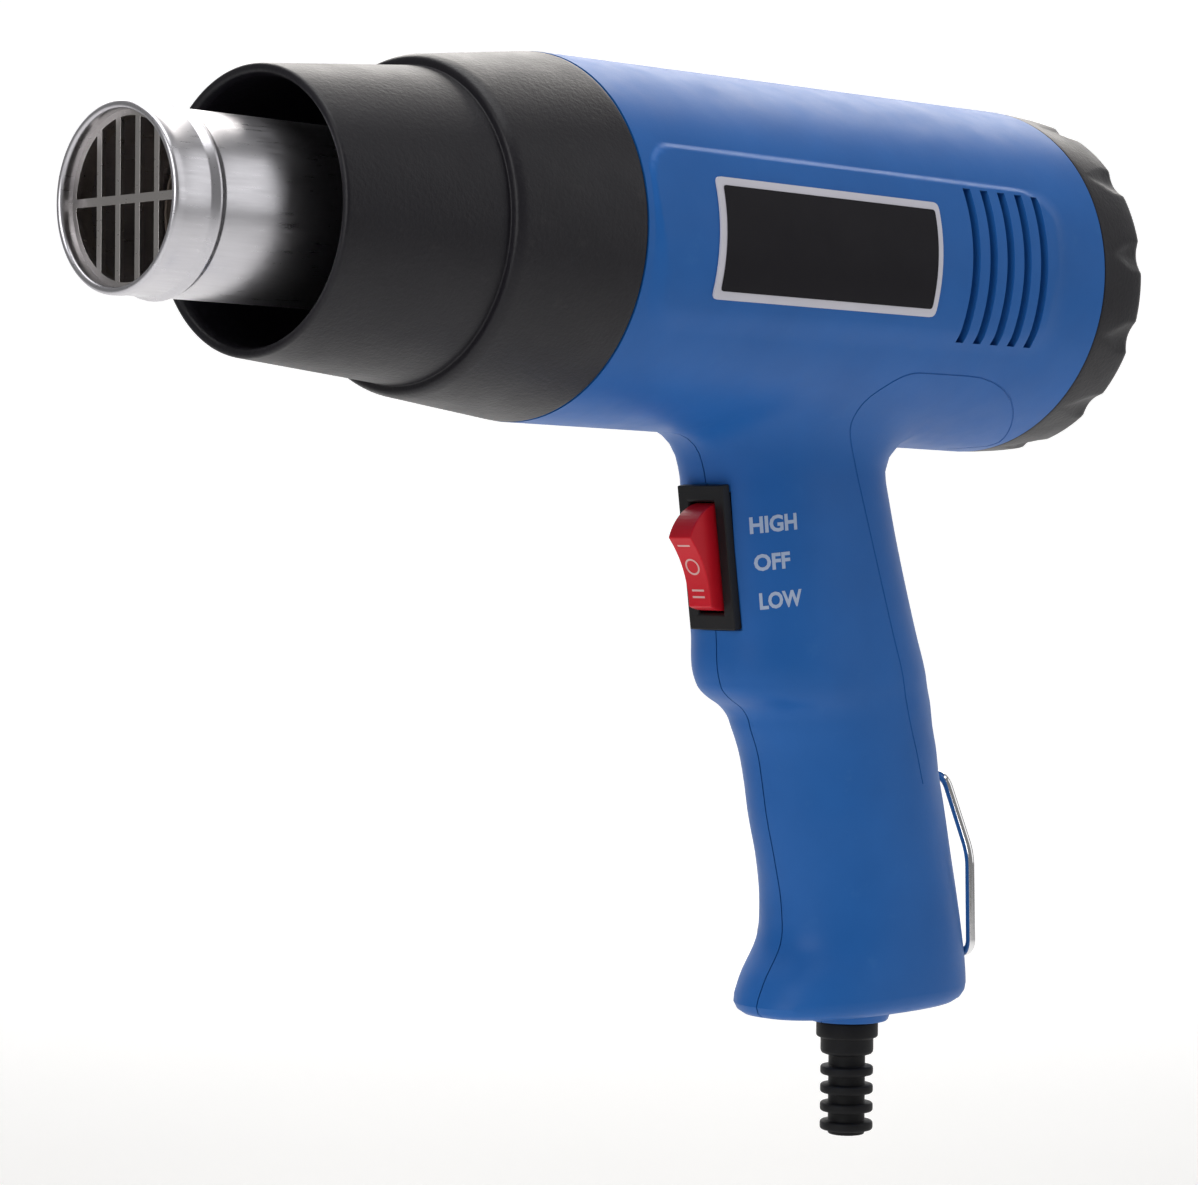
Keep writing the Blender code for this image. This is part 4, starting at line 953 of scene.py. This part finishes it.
def build_screw(name, x, z):
    """Pan-head screw on the +Y half with a cross recess."""
    seat, head = SCREW_SEAT_Y + GAP, 3.0
    outline = [(SCREW_TIP_Y, 0.0, 0.0), (SCREW_TIP_Y + 1.2, 1.35, 0.2), (seat, 1.35, 0.0),
               (seat, head, 0.2), (seat + 2.0, head - 0.4, 1.2), (seat + 2.0, 0.0, 0.0)]
    screw = turned(name, rounded_profile(outline, closed=False), count=36, axis="Y",
                   centre=(x, z), closed=False)
    for wide, tall in ((1.7, 0.32), (0.32, 1.7)):
        arm = box_parts([((x - wide, seat + 0.9, z - tall), (x + wide, seat + 3.0, z + tall))])
        cut(screw, joined("cross_tool", [arm]))
    baked(screw)
    shade(screw.data, 35.0)
    return screw


def plate(name, side, x_range, z_range, corner, low, high):
    """Thin plate that follows the barrel, with rounded corners, between two heights."""
    (left, right), (bottom, top) = x_range, z_range
    corners = ((left, bottom), (right, bottom), (right, top), (left, top))
    outline = rounded_profile([(x, z, corner) for x, z in corners], steps=4)
    rim = []
    for (x0, z0), (x1, z1) in zip(outline, outline[1:] + outline[:1]):
        count = max(1, round(math.hypot(x1 - x0, z1 - z0) / 2.0))
        rim += [(x0 + (x1 - x0) * k / count, z0 + (z1 - z0) * k / count) for k in range(count)]
    mesh = bpy.data.meshes.new(name)
    work = bmesh.new()
    ring = [work.verts.new((x, 0.0, z)) for x, z in rim]
    work.faces.new(ring)
    for x in np.arange(math.ceil(left / 3) * 3, right, 3.0):
        cut_grid(work, (x, 0, 0), (1, 0, 0))
    for z in np.arange(math.ceil(bottom / 2) * 2, top, 2.0):
        cut_grid(work, (0, 0, z), (0, 0, 1))
    made = bmesh.ops.extrude_face_region(work, geom=work.faces[:])
    raised = {g for g in made["geom"] if isinstance(g, bmesh.types.BMVert)}
    for vert in work.verts:
        lift = high if vert in raised else low
        x, z = vert.co.x, vert.co.z
        radius = barrel_radius(x) + PAD_RISE + lift
        turn = z / radius
        vert.co = Vector((x, side * radius * math.cos(turn), AXIS_Z + radius * math.sin(turn))) * MM
    face_outward(work, mesh)
    shade(mesh, 40.0)
    return link(bpy.data.objects.new(name, mesh))


def cut_grid(work, point, normal):
    geometry = work.verts[:] + work.edges[:] + work.faces[:]
    bmesh.ops.bisect_plane(work, geom=geometry, plane_co=point, plane_no=normal)


# ==== materials
class Nodes:
    """Small helper that adds nodes to one material and links them in order."""

    def __init__(self, name):
        self.mat = bpy.data.materials.new(name)
        self.mat.use_nodes = True
        self.tree = self.mat.node_tree
        self.shader = self.tree.nodes["Principled BSDF"]
        self.place = self.add("ShaderNodeTexCoord").outputs["Object"]

    def add(self, kind, values=None, **settings):
        node = self.tree.nodes.new(kind)
        for key, value in settings.items():
            setattr(node, key, value)
        return self.fill(node, values or {})

    def fill(self, node, values):
        """Give inputs their values by name."""
        for key, value in values.items():
            node.inputs[key].default_value = value
        return node

    def link(self, source, target):
        self.tree.links.new(source, target)

    def noise(self, size, detail=4.0, rough=0.55, place=None):
        """Noise whose features are about size millimetres across."""
        values = {"Scale": 1.0 / (size * MM), "Detail": detail, "Roughness": rough}
        node = self.add("ShaderNodeTexNoise", values)
        self.link(place or self.place, node.inputs["Vector"])
        return node.outputs["Fac"]

    def stretched(self, scale):
        node = self.add("ShaderNodeMapping", {"Scale": scale})
        self.link(self.place, node.inputs["Vector"])
        return node.outputs["Vector"]

    def ramp(self, source, low, high, a=0.0, b=1.0):
        values = {"From Min": low, "From Max": high, "To Min": a, "To Max": b}
        node = self.add("ShaderNodeMapRange", values, clamp=True)
        self.link(source, node.inputs["Value"])
        return node.outputs["Result"]

    def bump(self, source, depth, normal=None):
        """Bump whose full swing is depth millimetres."""
        node = self.add("ShaderNodeBump", {"Distance": depth * MM, "Strength": 1.0})
        self.link(source, node.inputs["Height"])
        if normal:
            self.link(normal, node.inputs["Normal"])
        return node.outputs["Normal"]


def rgba_mix(nodes, factor, first, second):
    """Mix two colours; either may be a tuple or a socket."""
    node = nodes.add("ShaderNodeMix", data_type="RGBA")
    sockets = [s for s in node.inputs if s.type == "RGBA"]
    nodes.link(factor, node.inputs[0])
    for value, socket in zip((first, second), sockets):
        if isinstance(value, tuple):
            socket.default_value = (*value, 1.0)
        else:
            nodes.link(value, socket)
    return [s for s in node.outputs if s.type == "RGBA"][0]


def plastic(name, colour, shade, roughness, grain=0.45, depth=0.02, wear=(0.0, 0.0, 0.0),
            wear_amount=0.0, specular=0.5):
    """Moulded plastic: fine grain, cloudy tint, uneven gloss and faint rubbed patches."""
    nodes = Nodes(name)
    shader = nodes.shader
    tint = rgba_mix(nodes, nodes.ramp(nodes.noise(22.0, 3.0), 0.3, 0.7), colour, shade)
    if wear_amount:
        rubbed = nodes.ramp(nodes.noise(6.0, 8.0, 0.7), 0.60, 0.72, 0.0, wear_amount)
        tint = rgba_mix(nodes, rubbed, tint, wear)
    nodes.link(tint, shader.inputs["Base Color"])
    patch = nodes.noise(9.0, 5.0)
    nodes.link(nodes.ramp(patch, 0.25, 0.75, roughness - 0.05, roughness + 0.06),
               shader.inputs["Roughness"])
    fine = nodes.bump(nodes.noise(grain, 3.0, 0.6), depth)
    nodes.link(nodes.bump(nodes.noise(7.0, 2.0), 0.03, fine), shader.inputs["Normal"])
    shader.inputs["Specular IOR Level"].default_value = specular
    return nodes.mat


def steel(name, colour, roughness, streak, depth, tint=(0.5, 0.45, 0.4), tint_amount=0.0):
    """Metal with streaks along one axis; streak scales each axis of the noise."""
    nodes = Nodes(name)
    shader = nodes.shader
    lines = nodes.noise(1.0, 6.0, 0.6, nodes.stretched(streak))
    patch = nodes.noise(14.0, 4.0)
    base = rgba_mix(nodes, nodes.ramp(lines, 0.3, 0.7, 0.0, 0.25), colour,
                    tuple(c * 0.75 for c in colour))
    if tint_amount:
        base = rgba_mix(nodes, nodes.ramp(patch, 0.35, 0.7, 0.0, tint_amount), base, tint)
    nodes.link(base, shader.inputs["Base Color"])
    shader.inputs["Metallic"].default_value = 1.0
    nodes.link(nodes.ramp(lines, 0.3, 0.7, roughness - 0.04, roughness + 0.05),
               shader.inputs["Roughness"])
    nodes.link(nodes.bump(lines, depth), shader.inputs["Normal"])
    return nodes.mat


def make_materials():
    """Every material by name: two colours and a roughness, then what sets it apart."""
    along_x = (0.12, 1.6, 1.6)
    even = (1.0, 1.0, 1.0)
    mats = (
        plastic("blue_plastic", (0.017, 0.122, 0.410), (0.014, 0.108, 0.370), 0.44, grain=0.5,
                depth=0.014, wear=(0.06, 0.20, 0.45), wear_amount=0.10, specular=0.20),
        plastic("black_plastic", (0.008, 0.007, 0.0105), (0.006, 0.005, 0.008), 0.42, grain=0.9,
                depth=0.09, wear=(0.07, 0.065, 0.06), wear_amount=0.10, specular=0.33),
        plastic("switch_plastic", (0.012, 0.012, 0.013), (0.008, 0.008, 0.009), 0.42, grain=0.3,
                depth=0.010, specular=0.25),
        plastic("red_plastic", (0.62, 0.009, 0.022), (0.55, 0.008, 0.018), 0.34, grain=0.5,
                depth=0.004, specular=0.22),
        plastic("inner_plastic", (0.30, 0.30, 0.31), (0.25, 0.25, 0.26), 0.5),
        plastic("rubber", (0.009, 0.009, 0.010), (0.006, 0.006, 0.007), 0.55, grain=0.4,
                depth=0.02, wear=(0.04, 0.04, 0.04), wear_amount=0.15, specular=0.2),
        steel("nozzle_steel", (0.62, 0.61, 0.64), 0.30, along_x, 0.002),
        steel("grille_steel", (0.62, 0.59, 0.57), 0.30, even, 0.004),
        steel("screw_steel", (0.62, 0.61, 0.58), 0.28, even, 0.01),
        steel("chrome", (0.84, 0.84, 0.85), 0.10, even, 0.002),
        steel("brass", (0.72, 0.55, 0.26), 0.30, even, 0.01),
        steel("heater_wire", (0.34, 0.30, 0.27), 0.42, even, 0.01, (0.22, 0.16, 0.20), 0.5),
        plastic("mica", (0.20, 0.16, 0.13), (0.13, 0.10, 0.08), 0.55, grain=0.8, depth=0.03),
        plastic("ferrite", (0.09, 0.09, 0.10), (0.07, 0.07, 0.075), 0.7),
        plastic("board", (0.05, 0.20, 0.09), (0.04, 0.16, 0.07), 0.45),
        plastic("label_ink", (0.009, 0.008, 0.011), (0.007, 0.006, 0.009), 0.42, grain=0.9,
                depth=0.004, specular=0.12),
        plastic("label_border", (0.62, 0.61, 0.68), (0.56, 0.55, 0.62), 0.38, grain=0.6,
                depth=0.006),
        plastic("legend_ink", (0.42, 0.50, 0.66), (0.34, 0.42, 0.58), 0.5, grain=0.25,
                depth=0.01),
        plastic("mark_ink", (0.72, 0.42, 0.40), (0.66, 0.36, 0.34), 0.4, grain=0.3, depth=0.005),
        plastic("lead_insulation", (0.52, 0.09, 0.05), (0.44, 0.07, 0.04), 0.5),
    )
    # the frame holds materials of the same names, so Blender adds .001 to these
    return {mat.name.split(".")[0]: mat for mat in mats}


def paint(obj, mat):
    obj.data.materials.clear()
    obj.data.materials.append(mat)


# ==== stage
def build_stage():
    """Pale floor that sweeps up into a curved backdrop behind the gun."""
    yaw = math.radians(CAMERA_YAW)
    back = Vector((math.sin(yaw), math.cos(yaw), 0.0))
    side = Vector((math.cos(yaw), -math.sin(yaw), 0.0))
    foot = Vector((-0.07, 0.0, FLOOR_Z))
    profile = [(-1.6, 0.0), (1.0, 0.0)]
    for turn in np.radians(np.linspace(5, 90, 18)):
        profile.append((1.0 + SWEEP_R * math.sin(turn), SWEEP_R * (1 - math.cos(turn))))
    profile.append((1.0 + SWEEP_R, 2.6))
    columns = 3
    verts = []
    for depth, height in profile:
        for k in range(columns):
            wide = 2.4 * (k - 1)
            verts.append(foot + back * depth + side * wide + Vector((0.0, 0.0, height)))
    mesh = bpy.data.meshes.new("floor")
    mesh.from_pydata([tuple(v) for v in verts], [], grid_faces(len(profile), columns, False))
    mesh.shade_smooth()
    floor = link(bpy.data.objects.new("floor", mesh))
    nodes = Nodes("floor_paper")
    tone = rgba_mix(nodes, nodes.noise(160.0, 3.0), (0.86, 0.86, 0.86), (0.89, 0.89, 0.89))
    nodes.link(tone, nodes.shader.inputs["Base Color"])
    nodes.fill(nodes.shader, {"Roughness": 0.9, "Specular IOR Level": 0.0,
                              "Emission Color": (1.0, 1.0, 1.0, 1.0)})
    apart = nodes.add("ShaderNodeSeparateXYZ")
    nodes.link(nodes.place, apart.inputs["Vector"])
    glow = nodes.ramp(apart.outputs["Z"], FLOOR_Z, FLOOR_Z + 0.15, 0.05, FLOOR_GLOW)
    nodes.link(glow, nodes.shader.inputs["Emission Strength"])
    mesh.materials.append(nodes.mat)


def add_light(name, spot, target, size, power, colour=(1.0, 1.0, 1.0)):
    light = bpy.data.lights.new(name, "AREA")
    light.shape = "RECTANGLE"
    light.size, light.size_y = size
    light.energy = power
    light.color = colour
    lamp = link(bpy.data.objects.new(name, light))
    lamp.location = spot
    aim = Vector(target) - Vector(spot)
    lamp.rotation_euler = aim.to_track_quat("-Z", "Y").to_euler()


def build_lights():
    middle = (-0.07, 0.0, 0.05)
    add_light("top_soft", (-0.15, 0.0, 1.15), middle, (1.2, 0.9), 8.5)
    add_light("back_soft", (0.62, 0.62, 0.85), middle, (1.2, 0.7), 9.0, (1.0, 0.96, 0.91))
    add_light("left_soft", (-1.25, -0.25, 0.45), middle, (0.7, 0.9), 6.0)
    add_light("right_soft", (0.75, -1.05, 0.60), middle, (0.8, 1.4), 3.4)
    world = bpy.data.worlds.new("studio")
    world.use_nodes = True
    back = world.node_tree.nodes["Background"]
    back.inputs["Color"].default_value = (1.0, 1.0, 1.0, 1.0)
    back.inputs["Strength"].default_value = 0.22
    bpy.context.scene.world = world
    bpy.context.scene.view_settings.view_transform = "Standard"


def build_camera():
    yaw, pitch, roll = np.radians((CAMERA_YAW, CAMERA_PITCH, CAMERA_ROLL))
    forward = Vector((math.sin(yaw) * math.cos(pitch), math.cos(yaw) * math.cos(pitch),
                      math.sin(pitch)))
    level = Vector((math.cos(yaw), -math.sin(yaw), 0.0))
    right = level * math.cos(roll) + level.cross(forward) * math.sin(roll)
    up = right.cross(forward)
    camera = link(bpy.data.objects.new("camera", bpy.data.cameras.new("camera")))
    turn = Matrix((right, up, -forward)).transposed()
    camera.matrix_world = Matrix.Translation(Vector(CAMERA_SPOT) * MM) @ turn.to_4x4()
    camera.data.lens = CAMERA_LENS
    camera.data.sensor_width = 36.0
    camera.data.sensor_fit = "HORIZONTAL"
    camera.data.clip_start = 0.01
    bpy.context.scene.camera = camera


# ==== main
def dress(piece, body, mat, slot, *nodes):
    """Ride a finished piece on its body, paint it and hide the CAD nodes it stands for."""
    paint(piece, mat)
    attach(piece, body)
    if nodes:
        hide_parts(*nodes)


def main():
    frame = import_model()
    mats = make_materials()

    left, right = build_shells()
    dress(left, "gun", mats["blue_plastic"], "blue_plastic", "housing_left")
    dress(right, "gun", mats["blue_plastic"], "blue_plastic", "housing_right")
    dress(build_shroud(), "gun", mats["black_plastic"], "black_plastic", "front_shroud")
    dress(build_cap(), "gun", mats["black_plastic"], "black_plastic", "rear_cap")
    dress(build_nozzle(), "gun", mats["nozzle_steel"], "nozzle_steel", "nozzle_tube")
    dress(build_grille(), "gun", mats["grille_steel"], "nozzle_steel", "nozzle_grille")
    dress(build_coil(), "gun", mats["heater_wire"], "heater_wire", "heater_coil")
    dress(build_bezel(), "gun", mats["switch_plastic"], "switch_plastic", "switch_body")
    dress(build_rocker(), "rocker", mats["red_plastic"], "red_plastic", "switch_rocker")
    dress(build_rocker_marks(), "rocker", mats["mark_ink"], "red_plastic")
    for legend in LEGENDS:
        dress(build_legend(*legend), "gun", mats["legend_ink"], "blue_plastic")
    dress(build_loop(), "loop", mats["chrome"], "chrome", "hanging_loop")
    dress(build_relief(), "gun", mats["rubber"], "rubber", "strain_relief")
    for number, (x, z) in enumerate(SCREW_SPOTS):
        screw = build_screw("screw_%d" % (number + 1), x, z)
        dress(screw, "gun", mats["screw_steel"], "screw_steel", "housing_screw_%d" % (number + 1))
    for name, side in (("left", -1), ("right", 1)):
        border = plate("label_border_" + name, side, LABEL_X, LABEL_Z, 1.6, 0.05, 0.45)
        dress(border, "gun", mats["label_border"], "label", "label_" + name)
        inner_x = (LABEL_X[0] + LABEL_BORDER, LABEL_X[1] - LABEL_BORDER)
        inner_z = (LABEL_Z[0] + LABEL_BORDER, LABEL_Z[1] - LABEL_BORDER)
        face = plate("label_face_" + name, side, inner_x, inner_z, 0.8, 0.50, 0.60)
        dress(face, "gun", mats["label_ink"], "label")

    slots = {part["node"]: part["material_slot"] for part in frame["record"]["subparts"]}
    for name, node in frame["nodes"].items():
        if not node.hide_render:
            paint(node, mats[slots[name]])

    build_stage()
    build_lights()
    build_camera()


main()
